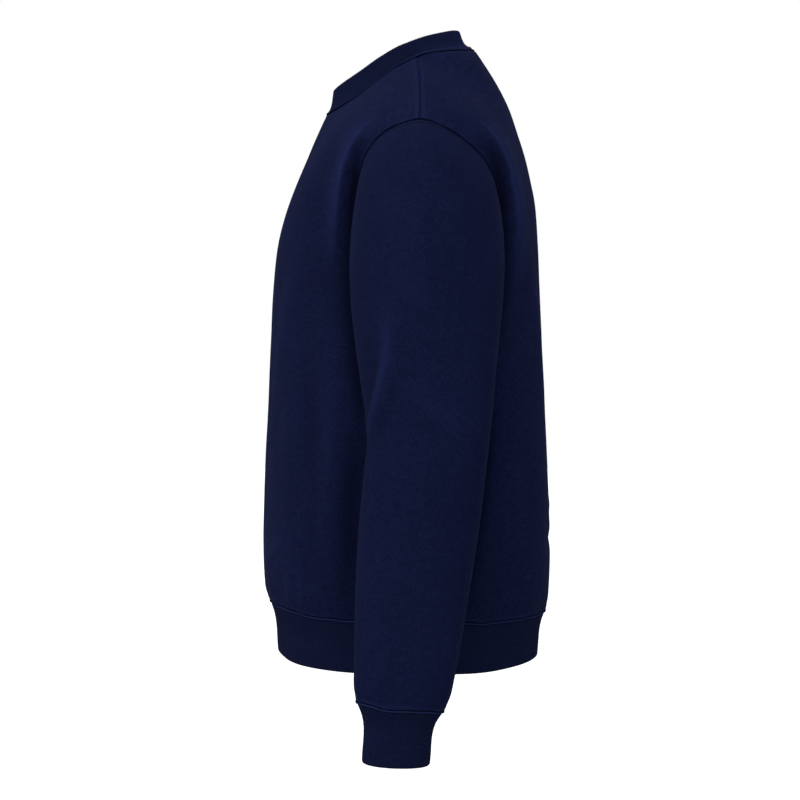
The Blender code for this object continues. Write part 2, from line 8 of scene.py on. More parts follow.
import bpy
import numpy as np
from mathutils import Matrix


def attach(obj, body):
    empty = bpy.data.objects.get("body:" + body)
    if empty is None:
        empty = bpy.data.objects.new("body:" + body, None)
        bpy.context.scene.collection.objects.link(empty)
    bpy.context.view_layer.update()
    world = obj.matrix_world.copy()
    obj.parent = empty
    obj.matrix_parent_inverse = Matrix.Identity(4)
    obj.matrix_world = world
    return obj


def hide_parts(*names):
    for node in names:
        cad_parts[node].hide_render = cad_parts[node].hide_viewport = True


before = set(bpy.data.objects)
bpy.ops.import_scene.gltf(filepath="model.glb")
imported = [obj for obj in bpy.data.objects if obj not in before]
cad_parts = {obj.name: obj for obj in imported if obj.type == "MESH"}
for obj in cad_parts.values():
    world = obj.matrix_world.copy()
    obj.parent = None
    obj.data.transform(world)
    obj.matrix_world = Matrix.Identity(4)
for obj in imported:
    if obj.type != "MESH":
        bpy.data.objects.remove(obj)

bl_info = {
    "name": "Crewneck sweatshirt",
    "version": (1, 0, 0),
    "blender": (4, 5, 0),
    "location": "View3D > Sidebar > Sweatshirt",
    "description": "Builds the knitted pieces, seams and stitches of a crewneck sweatshirt",
    "category": "Add Mesh",
}

MM = 1000.0

# How much rounder than an ellipse each section is between its widest points
FRONT_ROUNDNESS = 0.05
BACK_ROUNDNESS = 0.09
TUBE_ROUNDNESS = 0.04
# Degrees from a panel's centre line to the ends of its neckline
NECK_SPAN_FRONT = 50.0
NECK_SPAN_BACK = 48.0
# Powers of the way up by which a panel turns in to its top edge, for x, y and height, the widest
# blur of that turn in degrees, and the least share of it that counts
TURN_POWERS = (4.5, 4.5, 2.2)
TURN_SPREAD = 45.0
LEAST_SPREAD = 0.006
# Half ellipses of the neck seam and of the collar's fold
# Columns: half_width, centre, front, back
NECK_OVAL = (88.0, 0.0, 98.3, 64.5)
COLLAR_OVAL = (78.5, -10.0, 80.6, 56.9)
# Where the collar bends: shares of the way from its seam to its fold, for x, y and height
COLLAR_BEND = (0.65, 0.65, 0.33)
# Row of the armhole that is under the arm
UNDERARM = 9
# Lengths over which the rows above the underarm and of a sleeve's cap are graded
PANEL_RISE = 262.0
CAP_LENGTH = 190.0
# Direction in which a sleeve leaves the armhole: under the arm, and how much more at the shoulder
CAP_OUT = (0.45, 0.40)
CAP_UP = (-0.85, 0.33)
CAP_FORWARD = 0.17
# How far the curves of a cap keep the directions of its two ends
CAP_LEAVE = 1.1
CAP_ARRIVE = 0.8
# How far the sleeve's upper edge is tucked in, and over what length
SLEEVE_TUCK = 2.5
TUCK_REACH = 1.2
# Distances of the rows of stitches from their seams, and how much longer the shoulder's are
HEM_STITCH = 0.9
SHOULDER_STITCH = 2.8
SLEEVE_STITCH = 7.2
SHOULDER_LONGER = 1.6

# Level sections of the body from the hem seam up to the underarm
# Columns: height, tilt, front, back, half_width, side_seam
BODY = (
    (-587, -0.022, -160, 140.2, 187, -7),
    (-574, -0.02, -164.3, 142.6, 192, -6),
    (-558, -0.015, -165.8, 143.8, 195.5, -5),
    (-521, -0.008, -166.5, 145, 197.5, -3),
    (-481, -0.003, -165.4, 144.3, 197, -1),
    (-441, 0, -164.3, 142.9, 195, 1),
    (-401, 0, -163.2, 141.2, 192, 3),
    (-361, 0, -161.9, 139.2, 188, 5),
    (-323, 0, -160.5, 137.6, 184, 8),
    (-290, 0, -159, 136.5, 180, 10),
)

# Centre lines above the underarm, up to the neck seam
# Columns: y, height
CENTRE_FRONT = (
    (-159, -290), (-157.7, -257), (-154.6, -217), (-151, -191), (-144.5, -164.6),
    (-135.7, -138), (-125.8, -111.8), (-114.8, -85), (-103.2, -60), (-98.3, -50.2),
)
CENTRE_BACK = (
    (136.5, -290), (133.6, -230.6), (131.9, -191), (129.4, -151), (125, -125),
    (119.5, -98.6), (111.8, -72.2), (103, -45.8), (89.8, -19.4), (73.3, 7), (64.5, 19.7),
)

# The armhole seam from the shoulder tip, down the front, under the arm and up the back
# Columns: x, y, height
ARMHOLE = (
    (226, 1.8, -84.5), (219, -18, -88.3), (204, -37.5, -97.3), (185, -53, -116),
    (172, -60, -145), (165.5, -63, -182), (167, -60, -221), (171.5, -47, -257),
    (177.5, -20, -282), (180, 10, -290), (177.5, 40, -284), (171, 64, -262),
    (164, 77, -226), (162.5, 81.5, -187), (170, 79.5, -149), (187, 68, -121),
    (207, 47, -103), (221, 22, -89.6),
)

# The shoulder seam from the neck seam to the shoulder tip
# Columns: x, y, height
SHOULDER = (
    (88, 0, 0), (120, 1.2, -15), (155, 2.2, -33.5), (188, 2.3, -54.5), (210, 2, -71), ARMHOLE[0],
)

# Heights round the neck seam and the collar's fold, by degrees from the centre front
# Columns: degrees, height
NECK_SEAM = (
    (0, -50.2), (33, -47), (52, -37), (66.5, -22.5), (79.5, -8.5), (90, 0),
    (112, 7), (136, 12), (180, 19.7),
)
COLLAR_FOLD = (
    (0, -22.9), (25, -20.5), (51, -10), (68.7, 2.8), (84.3, 14), (103.4, 22.3),
    (127.7, 30.2), (155.3, 38), (180, 41.5),
)
# How far round the collar's ribs lean towards the front on their way up
# Columns: degrees, lean
COLLAR_LEAN = ((0, 0), (30, 6), (52, 9), (90, 7.5), (136, 3.5), (180, 0))

# Sections of the left sleeve below its cap, and of its cuff
# Columns: height, front, back, centre_x, half_width, lean, roll
SLEEVE = (
    (-340, -57.5, 75.3, 251, 52, -0.01, 0.05),
    (-368, -53.6, 73, 254.5, 50.5, -0.02, 0.06),
    (-391, -49.6, 70.4, 257.5, 49, -0.035, 0.06),
    (-405, -49.7, 68.6, 259, 48.5, -0.045, 0.06),
    (-432, -52.6, 65.2, 262, 47, -0.06, 0.06),
    (-470, -56.3, 60.6, 266, 44.5, -0.075, 0.06),
    (-510, -59.3, 54.6, 270, 42, -0.085, 0.06),
    (-550, -61, 48, 274.5, 39.5, -0.09, 0.06),
    (-590, -61.9, 41.3, 279, 37, -0.09, 0.055),
    (-620, -62.4, 35.8, 282.5, 35, -0.09, 0.045),
    (-643, -62.5, 30.2, 285.5, 33, -0.085, 0.035),
    (-657.7, -60.4, 24.4, 287, 30, -0.08, 0.03),
)
CUFF = (
    SLEEVE[-1],
    (-667, -55.4, 17.8, 287.6, 26.5, -0.076, 0.03),
    (-709, -54.4, 10.4, 290, 24, -0.07, 0.03),
)
# Level sections of the waistband, from its seam to its fold
# Columns: height, tilt, front, back, half_width, side_seam
WAISTBAND = (
    BODY[0],
    (-596.5, -0.015, -156.2, 136.6, 184, -7),
    (-639, -0.004, -151.2, 131.2, 180, -8),
)

# Folds on the sides of the body, by (y, height)
# Columns: rise, half_width, path
SIDE_FOLDS = (
    (5, 12, ((-50, -80), (-66, -100), (-76, -135), (-81, -180), (-85, -225))),
    (1.2, 4.5, ((-54, -84), (-70, -106), (-79, -140), (-84, -186), (-86, -225))),
    (-4, 8, ((-60, -108), (-67, -140), (-71, -185), (-72, -235))),
    (6, 13, ((68, -78), (85, -105), (97, -148), (101, -195), (97, -260))),
    (1.2, 4.5, ((70, -80), (88, -110), (99, -152), (104, -198), (99, -260))),
    (-4, 8, ((80, -112), (88, -150), (91, -190), (89, -240))),
    (-2.6, 12, ((-112, -250), (-113, -350), (-111, -450), (-108, -570))),
    (1.6, 11, ((-88, -300), (-89, -400), (-88, -480))),
    (0.9, 6, ((-137, -330), (-139, -430), (-141, -540))),
    (0.7, 3, ((-133.5, -520), (-135, -552), (-136, -583))),
    (0.6, 2.6, ((-119.5, -528), (-121, -558), (-122, -585))),
)
# Soft folds seen from straight in front and behind, by (x, height), with the same columns
FRONT_FOLDS = (
    (3.1, 16, ((-118, -190), (-96, -255), (-84, -330), (-80, -420))),
    (2.5, 14, ((124, -200), (98, -270), (90, -345))),
    (-2.5, 13, ((-62, -260), (-50, -360), (-47, -470), (-52, -560))),
    (-2.2, 12, ((58, -300), (44, -400), (40, -520))),
    (2, 10, ((12, -380), (6, -470), (9, -565))),
    (-1.7, 7, ((-130, -505), (-70, -528), (-20, -522))),
    (1.9, 8, ((28, -538), (84, -527), (136, -507))),
    (-1.5, 6, ((24, -96), (40, -99), (62, -84))),
)
BACK_FOLDS = (
    (3.2, 15, ((-122, -180), (-104, -250), (-98, -320))),
    (2.9, 16, ((126, -185), (100, -265), (90, -350), (92, -430))),
    (-2.7, 14, ((-66, -300), (-58, -400), (-60, -520))),
    (-2.4, 12, ((48, -240), (40, -350), (44, -480))),
    (2.4, 9, ((-96, -462), (-30, -480), (34, -474))),
    (-2, 8, ((-20, -502), (50, -512), (112, -496))),
    (2.2, 9, ((-134, -541), (-80, -552), (-28, -546))),
)
# Folds on the outer side of a sleeve, by (y, height), with the same columns
SLEEVE_FOLDS = (
    (3.9, 9, ((-50, -398), (-40, -360), (-33, -326), (-28, -270))),
    (1.6, 2.4, ((-50, -398), (-41.8, -367.4), (-35.9, -343.5), (-31.1, -324.5), (-28, -290))),
    (-2.6, 9, ((-52, -380), (-46, -345), (-43, -300))),
    (-1.6, 7, ((-44, -408), (-30, -372), (-20, -335))),
    (1.2, 9, ((-10, -352), (18, -378), (44, -392))),
    (-0.9, 8, ((-4, -372), (22, -398), (48, -410))),
    (1, 9, ((-30, -230), (-6, -262), (26, -284))),
    (1, 5, ((-47, -636), (-35, -617), (-27, -590))),
)
# Folds on the inner side of each sleeve, by (degrees from its outermost line, height), with the
# same columns
LEFT_INNER_FOLDS = (
    (2.2, 9, ((118, -388), (160, -372), (205, -380))),
    (-2.4, 8, ((105, -402), (150, -393), (198, -401))),
    (1.8, 8, ((112, -425), (156, -412), (190, -418))),
    (1.5, 9, ((130, -470), (172, -452), (215, -458))),
    (1.4, 8, ((110, -635), (160, -622), (220, -630))),
    (1.8, 10, ((140, -330), (180, -318), (216, -326))),
)
RIGHT_INNER_FOLDS = (
    (2.4, 9, ((110, -380), (156, -368), (196, -374))),
    (-2.2, 8, ((108, -399), (156, -388), (208, -394))),
    (1.5, 8, ((118, -418), (150, -410), (186, -414))),
    (1.6, 10, ((120, -486), (166, -468), (205, -476))),
    (1.2, 8, ((130, -628), (172, -616), (206, -626))),
    (1.6, 10, ((132, -340), (176, -330), (210, -335))),
)
# Millimetres that a degree round a sleeve counts for in these
DEGREE_LENGTH = 0.9
# How folds fade: the shares of a path that its ends are held to, a power, and the margins beside
# the seams of a panel and of a sleeve
FOLD_ENDS = (0.03, 0.97)
FOLD_POWER = 0.7
PANEL_MARGIN = 20.0
SLEEVE_MARGIN = 16.0

# Relief of the cloth beside its seams, as sums of bells.  Beside the armhole there is one profile
# over the shoulder and one under the arm, where the sleeve stands clear and the body dips under it
# Columns: rise, distance, half_width
HEM_EDGE = ((0.2, 2.6, 1.8), (-0.9, 0, 0.5))
NECK_EDGE = ((0.3, 3.3, 0.9), (-1.3, 0, 1.5))
SIDE_EDGE = ((0.3, 2.2, 1.6), (-1.5, 0, 0.8))
SHOULDER_EDGE = ((0.35, 1.3, 0.6), (-1.2, 0, 0.45))
BODY_OVER = ((0.8, 2, 0.55), (-1.6, 0, 1.35))
BODY_UNDER = ((-1, 0, 2.6),)
SLEEVE_OVER = ((0.2, 3.2, 0.9), (-1.7, 0, 1.7), (-0.5, SLEEVE_STITCH, 1.1))
SLEEVE_UNDER = ((0.9, 1, 1.1),)
# Height at which the armhole starts to turn from the lower profile to the upper, and over how much
OVER_START = -148.0
OVER_REACH = 24.0
# The flat band beside the shoulder seam: height, length of its rise, width, length of its fall
SHOULDER_BAND = (0.2, 1.0, 4.4, 1.6)
# Share of the neck's edge that the back has, and the length over which a sleeve's underarm seam
# starts to show
BACK_NECK_EDGE = 0.55
UNDERARM_SEAM_REACH = 10.0
# The ridge beside a hem or cuff seam: its height and half width, the stitches that nip it and the
# grooves on its two sides
HEM_RIDGE = (1.15, 1.0)
# Columns: pitch, half_width, slant, share of the ridge
HEM_NIPS = (3.4, 0.55, 0.5, 0.3)
HEM_GROOVES = ((-0.5, 0, 0.3), (-0.35, 2.5, 0.6))
# The ridge above the neck seam, each pair in front and how much more round the back
NECK_RIDGE = (1.1, -0.75)
NECK_RIDGE_WIDTH = (2.2, 3.6)
NECK_NIP = (0.35, 0.1)
# The stitches that nip it: pitch, half width along the seam and half width across it
NECK_NIPS = (3.2, 0.5, 0.8)
# Its groove at the seam, and beyond its width its other groove and its lip round the back
NECK_GROOVE = ((-0.5, 0, 0.3),)
NECK_FAR_GROOVE = ((-0.3, 0.5, 0.6),)
NECK_LIP = ((0.75, -0.7, 0.6),)
# Degrees from the centre back to where it is as in front, and over how many it changes
NECK_BACK_SPAN = 110.0
NECK_BACK_FADE = 50.0

# How much paler or darker a millimetre of seam edge, fold crest or fold valley is painted, as
# highlight and shade, and a rib's crest
EDGE_SHADING = 0.8
EDGE_SHADING_LIMITS = (-1.25, 1.2)
CREST_HIGHLIGHT = 0.06
VALLEY_SHADE = 0.09
RIB_SHADING = 0.45

# Painted highlights on crests (above 0) and painted shade in hollows (below 0) on the sides of
# the body, by (y, height)
# Columns: shading, half_width, path
SIDE_PAINTED_LIGHT = (
    (0.4, 1.8, ((-44, -76), (-56, -88), (-66, -104), (-74, -124), (-80, -152), (-83, -190))),
    (-0.55, 5, ((-57, -97), (-60, -112), (-63.5, -132), (-65.5, -155), (-67.5, -190),
                (-67.5, -250))),
    (-0.45, 9, ((-62, -112), (-68, -150), (-72, -200), (-70, -300))),
    (-0.8, 11, ((-67, -215), (-64, -290), (-58, -350), (-56, -395))),
    (-0.68, 15, ((-60, -380), (-66, -440), (-69, -510), (-71, -590))),
    (0.42, 1.4, ((60, -76), (71, -87), (81, -102), (90, -123), (98, -158), (101, -200))),
    (-0.9, 7, ((68, -98), (78, -118), (85, -150), (88, -190), (86, -260), (80, -330))),
    (-0.95, 10, ((76, -340), (66, -430), (52, -520), (42, -590))),
    (0.14, 1.4, ((-134, -532), (-135, -560), (-136, -583))),
    (0.12, 1.3, ((-120, -536), (-121, -562), (-122, -585))),
)
# The same on the outer side of a sleeve
SLEEVE_PAINTED_LIGHT = (
    (0.12, 2.8, ((-51, -398), (-47.8, -391.2), (-41.8, -367.4), (-35.9, -343.5), (-31.1, -324.5),
                 (-27.5, -295))),
    (-0.35, 3.6, ((-54, -392), (-48.5, -366), (-42.5, -341), (-37.5, -318))),
)

# Gathers beside a seam
# Columns: wavelength, height, start
GATHERS = ((47, 0.34, 0.6), (29, 0.3, 2.1), (19, 0.26, 4.4), (12.5, 0.16, 1.3), (8.3, 0.1, 3.2))
HEM_GATHER_REACH = 34.0
CUFF_GATHER_REACH = 22.0
SEAM_GATHER_REACH = 9.0
# The hem's gathers start this far below its seam and are full after this length
GATHER_START = 2.0
GATHER_RISE = 6.0
# Shares of the gathers beside the armhole and along a panel's top, and how far the gathers of a
# panel's top and of a sleeve's cap are shifted along
ARMHOLE_GATHERS = 0.5
TOP_GATHERS = 0.35
TOP_SHIFT = 37.0
CAP_SHIFT = 21.0
# Waves of the hem and cuff seam lines
# Columns: cycles a turn, height, start
SEAM_WAVES = ((9, 0.35, 0.4), (16, 0.35, 2), (27, 0.3, 4), (41, 0.16, 1))
SEAM_WAVE_REACH = 16.0
CUFF_WAVES = ((3, 0.3, 0.4), (5, 0.25, 2), (11, 0.14, 1))
# How far the cuff's seam stands above its level, by degrees from its outermost line
# Columns: degrees, rise
CUFF_RISE = (
    (0, 0), (15, 0), (24, 0.3), (38, 2.4), (60, 3.2), (90, 3.6), (120, 2.5),
    (180, 0.2), (240, 0), (270, 0.5), (333, 0.7), (360, 0),
)
CUFF_RISE_REACH = 22.0
# Share of that rise where the cuff bends
CUFF_BEND_RISE = 0.6
# How far the cuff's fold hangs below its level: all round, at the outermost line, in front
CUFF_DROP = (1.2, 2.4, 1.2)
# How far the waistband's seam and fold stand above their level, by degrees from the centre front
# Columns: degrees, rise
WAIST_RISE = (
    (0, 4), (15, 5), (28, 4.6), (40, 2.2), (50, 0.4), (62, -0.6), (78, 0.6),
    (95, 1), (120, -0.5), (138, 2.4), (155, 3), (180, 1),
)
WAIST_FOLD_RISE = (
    (0, 4), (15, 4.4), (24, 3.4), (32, 1.2), (40, 0), (50, -0.8), (62, -1.6),
    (95, -1.6), (120, -1.5), (138, 1.6), (155, 3), (180, 1),
)
WAIST_RISE_REACH = 45.0

# Grid steps in millimetres: the widest, and those beside a seam, which grow within a reach
COARSE = 3.3
FINE = 0.55
FINE_REACH = 14.0
SIDE_REACH = 48.0
# Degrees for a millimetre of these round the body, and of the fine and coarse ones round a sleeve
DEGREES_A_MM = 1.0 / 3.0
TUBE_DEGREES_A_MM = (0.6, 0.75)
# Samples with which curves, grades, ovals and turns are measured
CURVE_SAMPLES = 1200
GRADE_SAMPLES = 4001
OVAL_SAMPLES = 721
TURN_SAMPLES = 7201

# Rows of a rib band from its seam, which end this far from its fold, and the step of the rest
BAND_ROWS = (0, 0.25, 0.6, 1, 1.4, 1.8, 2.2, 2.6, 3.1, 3.8, 4.6, 5.4, 6.2, 7.5, 10, 14, 19)
BAND_ROWS_END = 4.0
BAND_STEP = 6.5
# Rows round its fold and at most on its inner side
FOLD_ROWS = 6
INNER_ROWS = 8
# Where ribs start from the seam, and over what length they rise; their share of height inside
RIB_START = 3.0
RIB_RISE = 3.0
RIB_INSIDE = 0.8
# Half width of the painted shade line at a band's foot
FOOT_HALF_WIDTH = 0.9
# Degrees from the centre back to which a band gets painted light, and over how many it starts
BACK_LIGHT_SPAN = 100.0
BACK_LIGHT_REACH = 70.0
# What a table of rib bands says of each: its node, what makes its three rows, columns to a rib,
# its ridge, how much painted light and shade the ridge gets and how much painted shade the
# foot gets, share of the ribs' height, painted light round the back, side on which its normals
# lie, side of the body that it is on, size of its cut
BAND_COLUMNS = ("node", "make_rows", "columns", "ridge", "rub", "foot", "depth", "fade", "sign",
                "mirror", "flat")

# How far the wall's inside follows relief: none up to this height, then this share
INSIDE_FOLLOWS_FROM = 1.5
INSIDE_FOLLOWS = 0.8
# One stitch: its rings, its count of sides, how high it stands and how deep its ends dip, in
# thicknesses of the thread
# Columns: place, swell
STITCH_RINGS = ((-1, 0.35), (-0.6, 0.9), (0, 1), (0.6, 0.9), (1, 0.35))
STITCH_SIDES = 5
STITCH_SIZES = ("stitch_pitch", "stitch_length", "thread_thickness")
STITCH_STAND = 0.25
STITCH_DIP = 0.9


def unit(vectors):
    """Vectors along the last axis, each divided by its length."""
    return vectors / np.maximum(np.linalg.norm(vectors, axis=-1, keepdims=True), 1e-9)


def step_up(x):
    """Smooth step: 0 below zero, 1 above one, 3x^2 - 2x^3 between."""
    x = np.clip(x, 0.0, 1.0)
    return x * x * (3.0 - 2.0 * x)


def bell(x):
    """Bell curve exp(-x^2)."""
    return np.exp(-x * x)


def smooth(at, knots, values):
    """Cubic through a table, each knot's slope taken across its neighbours."""
    at = np.asarray(at, float)
    knots = np.asarray(knots, float)
    values = np.asarray(values, float)
    slopes = np.gradient(values, knots, axis=0)
    i = np.clip(np.searchsorted(knots, at, side="right") - 1, 0, len(knots) - 2)
    shape = at.shape + (1,) * (values.ndim - 1)
    step = (knots[i + 1] - knots[i]).reshape(shape)
    t = (at - knots[i]).reshape(shape) / step
    start = values[i] * (1 + 2 * t) * (1 - t) ** 2 + slopes[i] * step * t * (1 - t) ** 2
    end = values[i + 1] * t * t * (3 - 2 * t) + slopes[i + 1] * step * t * t * (t - 1)
    return start + end


def lengths(points, axis):
    """Distance gone along an axis of a grid."""
    gone = np.cumsum(np.linalg.norm(np.diff(points, axis=axis), axis=-1), axis=axis)
    return np.concatenate((np.zeros_like(np.take(gone, [0], axis=axis)), gone), axis=axis)


def at_lengths(wanted, gone, points):
    """Points of a line at wanted lengths, given the length gone at each of its points."""
    return np.stack([np.interp(wanted, gone, axis) for axis in points.T], axis=-1)


def joined(grid):
    """A closed grid with its first column once more at its end."""
    return np.concatenate((grid, grid[:, :1]), axis=1)


def along(rows, first, last, fractions):
    """Points at fractions of the length of the smooth curve between two rows."""
    rows = np.asarray(rows, float)
    dense = smooth(np.linspace(first, last, CURVE_SAMPLES), np.arange(len(rows)), rows)
    gone = lengths(dense, 0)
    return at_lengths(np.asarray(fractions) * gone[-1], gone, dense)


def graded(length, start, end, fine=FINE, coarse=COARSE, reach=FINE_REACH):
    """Places along a length, in steps from fine at its graded ends to coarse within reach."""
    at = np.linspace(0.0, length, GRADE_SAMPLES)
    near = np.full(at.shape, np.inf)
    if start:
        near = np.minimum(near, at)
    if end:
        near = np.minimum(near, length - at)
    spacing = fine + (coarse - fine) * step_up(near / reach)
    density = 1.0 / spacing
    count = np.concatenate(([0.0], np.cumsum(0.5 * (density[1:] + density[:-1]) * np.diff(at))))
    return np.interp(np.linspace(0.0, count[-1], int(np.ceil(count[-1])) + 1), count, at)


def even_height(degrees, table):
    """Height round a loop that is alike on both sides of its centre front and back."""
    rows = np.array(table)
    before = rows[3:0:-1] * (-1, 1)
    after = rows[-2:-5:-1] * (-1, 1) + (360, 0)
    rows = np.vstack((before, rows, after))
    folded = 180.0 - np.abs(np.asarray(degrees) % 360.0 - 180.0)
    return smooth(folded, rows[:, 0], rows[:, 1])


def loop(degrees, half_width, centre, front, back, table):
    """Two half ellipses that meet at the sides, raised by a table of heights."""
    angle = np.radians(degrees)
    depth = np.where(np.cos(angle) > 0, front, back)
    y = centre - depth * np.cos(angle)
    return np.stack((half_width * np.sin(angle), y, even_height(degrees, table)), axis=-1)


def neck_loop(degrees):
    """The neck seam."""
    return loop(degrees, *NECK_OVAL, NECK_SEAM)


def neck_span(front):
    """Degrees from a panel's centre line to the ends of its neckline."""
    return NECK_SPAN_FRONT if front else NECK_SPAN_BACK


def collar_fold(degrees):
    """The collar's folded top edge, its points shifted round so that the ribs stand square."""
    turn = np.asarray(degrees) % 360.0
    half = 180.0 - np.abs(turn - 180.0)
    lean = np.interp(half, *np.transpose(COLLAR_LEAN)) * np.where(turn > 180.0, -1.0, 1.0)
    return loop(turn - lean, *COLLAR_OVAL, COLLAR_FOLD)


def full(angle, amount):
    """How far a section swells between its widest points to be rounder than an ellipse."""
    return 1.0 + amount * np.sin(2 * angle) ** 2


def columns_of(rows):
    """The columns of a table's rows, ready to be carried round."""
    return np.moveaxis(np.asarray(rows), -1, 0)[..., None]


def body_ring(degrees, rows):
    """Level sections of the body or waistband: two half ellipses each, tilted front to back."""
    height, tilt, front, back, half_width, side = columns_of(rows)
    angle = np.radians(degrees)
    ahead = np.cos(angle) > 0
    reach = np.where(ahead, side - front, back - side)
    swell = full(angle, np.where(ahead, FRONT_ROUNDNESS, BACK_ROUNDNESS))
    x = half_width * np.sin(angle) * swell
    y = side - reach * np.cos(angle) * swell
    return np.stack((x, y, height + tilt * y), axis=-1)


def tube_ring(degrees, rows):
    """Sections of the left sleeve or cuff, by degrees from the outermost line, front first."""
    height, front, back, centre_x, half_width, lean, roll = columns_of(rows)
    angle = np.radians(degrees)
    swell = full(angle, TUBE_ROUNDNESS)
    x = half_width * np.cos(angle) * swell
    y = -0.5 * (back - front) * np.sin(angle) * swell
    z = height + lean * y + roll * x
    return np.stack((centre_x + x, 0.5 * (front + back) + y, z), axis=-1)


def armhole(fractions, front):
    """Points up the front or back of the armhole, from the underarm to the shoulder tip."""
    count = len(ARMHOLE)
    rows = np.array([ARMHOLE[i % count] for i in range(-3, count + 4)])
    return along(rows, 3 + UNDERARM, 3 if front else 3 + count, fractions)


def path_distance(flat, path):
    """Distance from flat points to a path, and the share of the path's knots passed there."""
    path = np.asarray(path, float)
    best = np.full(flat.shape[:-1], np.inf)
    share = np.zeros(flat.shape[:-1])
    for i, (start, step) in enumerate(zip(path[:-1], np.diff(path, axis=0))):
        offset = flat - start
        t = np.clip(offset @ step / (step @ step), 0.0, 1.0)
        gap = np.linalg.norm(offset - t[..., None] * step, axis=-1)
        nearer = gap < best
        best = np.where(nearer, gap, best)
        share = np.where(nearer, (i + t) / (len(path) - 1), share)
    return best, share


def fold_rise(flat, folds):
    """Sum of folds: a bell across each path, fading towards its two ends."""
    total = np.zeros(flat.shape[:-1])
    for rise, half_width, path in folds:
        gap, share = path_distance(flat, path)
        fade = np.sin(np.pi * np.clip(share, *FOLD_ENDS)) ** FOLD_POWER
        total += rise * fade * bell(gap / half_width)
    return total


def edge_shading(edges):
    """Painted light and shade of seam edges: paler where they stand up, a little darker in their
    grooves.
    """
    return EDGE_SHADING * np.clip(edges, *EDGE_SHADING_LIMITS)


def fold_shading(folds):
    """Painted light and shade of folds: paler on their crests, darker in their valleys."""
    return CREST_HIGHLIGHT * np.maximum(folds, 0.0) + VALLEY_SHADE * np.minimum(folds, 0.0)


def waves(length, table):
    """Uneven wave: a sum of cosines of the length, by wavelength, height and start."""
    turned = 2 * np.pi * length
    return sum(height * np.cos(turned / wavelength + start) for wavelength, height, start in table)


def gathers(length, distance, reach):
    """Gathers along a seam that die away with the distance from it."""
    return waves(length, GATHERS) * np.exp(-distance / reach)


def hem_gathers(length, distance, reach):
    """Gathers that start at a hem or cuff seam."""
    return gathers(length, distance, reach) * step_up((distance + GATHER_START) / GATHER_RISE)


def seam_wave(degrees, table):
    """How far a hem or cuff seam strays up and down at degrees round it."""
    turn = np.radians(degrees)
    return sum(height * np.cos(cycles * turn + start) for cycles, height, start in table)


def cuff_rise(degrees):
    """How far the cuff's seam stands above its level at degrees round it."""
    rise = smooth(np.asarray(degrees) % 360.0, *np.transpose(CUFF_RISE))
    return rise + seam_wave(degrees, CUFF_WAVES)


def waist_rise(degrees):
    """How far the hem seam and waistband stand above their level at degrees round the body."""
    return even_height(degrees, WAIST_RISE)


def normals_of(points, closed):
    """Unit normals of a grid: steps along its columns crossed with steps along its rows."""
    rows = np.gradient(points, axis=0)
    if closed:
        columns = np.roll(points, -1, axis=1) - np.roll(points, 1, axis=1)
    else:
        columns = np.gradient(points, axis=1)
    return unit(np.cross(columns, rows))


def edge(distance, bells):
    """Relief beside a seam: the sum of its bells."""
    return sum(rise * bell((distance - at) / half_width) for rise, at, half_width in bells)


def armhole_edge(distance, height, over, under):
    """Relief beside the armhole, which turns from one profile to another on its way up."""
    share = step_up((height - OVER_START) / OVER_REACH)
    return edge(distance, over) * share + edge(distance, under) * (1.0 - share)


def shoulder_edge(distance):
    """Either side of the shoulder seam: a flat band with one row of stitches."""
    height, rise, width, fall = SHOULDER_BAND
    band = height * step_up(distance / rise) * (1.0 - step_up((distance - width) / fall))
    return band + edge(distance, SHOULDER_EDGE)


def upper_rows(ways, centre, side, hem_share, top_share, swell):
    """Rows above the underarm: ovals from the centre line, cut off where they meet the armhole."""
    ways = ways[:, None]
    middle = BODY[-1][-1] * (1.0 - ways) + side[:, 1:2] * ways
    angles = np.radians(np.linspace(0.0, 90.0, OVAL_SAMPLES))
    reach = np.cos(angles) * full(angles, swell)
    depth = centre[:, 0:1] - middle
    end = np.interp(-(side[:, 1:2] - middle) / depth, -reach, angles)
    angle = (hem_share + (top_share - hem_share) * ways) * end
    x = side[:, 0:1] * np.sin(angle) * full(angle, swell) / (np.sin(end) * full(end, swell))
    y = middle + depth * np.cos(angle) * full(angle, swell)
    level = (np.cos(angle) ** 2 - np.cos(end) ** 2) / np.sin(end) ** 2
    return np.stack((x, y, side[:, 2:3] + (centre[:, 1:2] - side[:, 2:3]) * level), axis=-1)


def spread(lift, place, amount):
    """A row of lifts blurred by a bell of places, mirrored at the centre and none at the side."""
    if amount < LEAST_SPREAD:
        return lift
    mirrored = lift * (-1, 1, 1)
    whole = np.concatenate((place, -place[1:], 180.0 - place[:-1], place[:-1] - 180.0))
    signed = np.concatenate((lift, mirrored[1:], -lift[:-1], -mirrored[:-1]))
    share = np.exp(-0.5 * ((place[:, None] - whole[None]) / (TURN_SPREAD * amount)) ** 2)
    weight = np.maximum(np.gradient(place), 1e-6)
    share *= np.concatenate((weight, weight[1:], weight[:-1], weight[:-1]))
    return share @ signed / share.sum(axis=1, keepdims=True)


def half_degrees(front):
    """Columns of half a panel by degrees round the hem, close together beside the side seam."""
    span = neck_span(front)
    fine, coarse, reach = (size * DEGREES_A_MM for size in (FINE, COARSE, SIDE_REACH))
    neck = graded(span, False, False, coarse, coarse)
    shoulder = span + graded(90.0 - span, False, True, fine, coarse, reach)
    return np.concatenate((neck, shoulder[1:]))


def panel_top(degrees, front):
    """Top edge of half a panel: the neckline, then the shoulder seam."""
    span = neck_span(front)
    round_neck = 90.0 * np.minimum(degrees / span, 1.0)
    neck = neck_loop(round_neck if front else 180.0 - round_neck)
    out = np.clip((degrees - span) / (90.0 - span), 0.0, 1.0)
    shoulder = along(SHOULDER, 0, len(SHOULDER) - 1, out)
    return np.where((degrees <= span)[:, None], neck, shoulder)


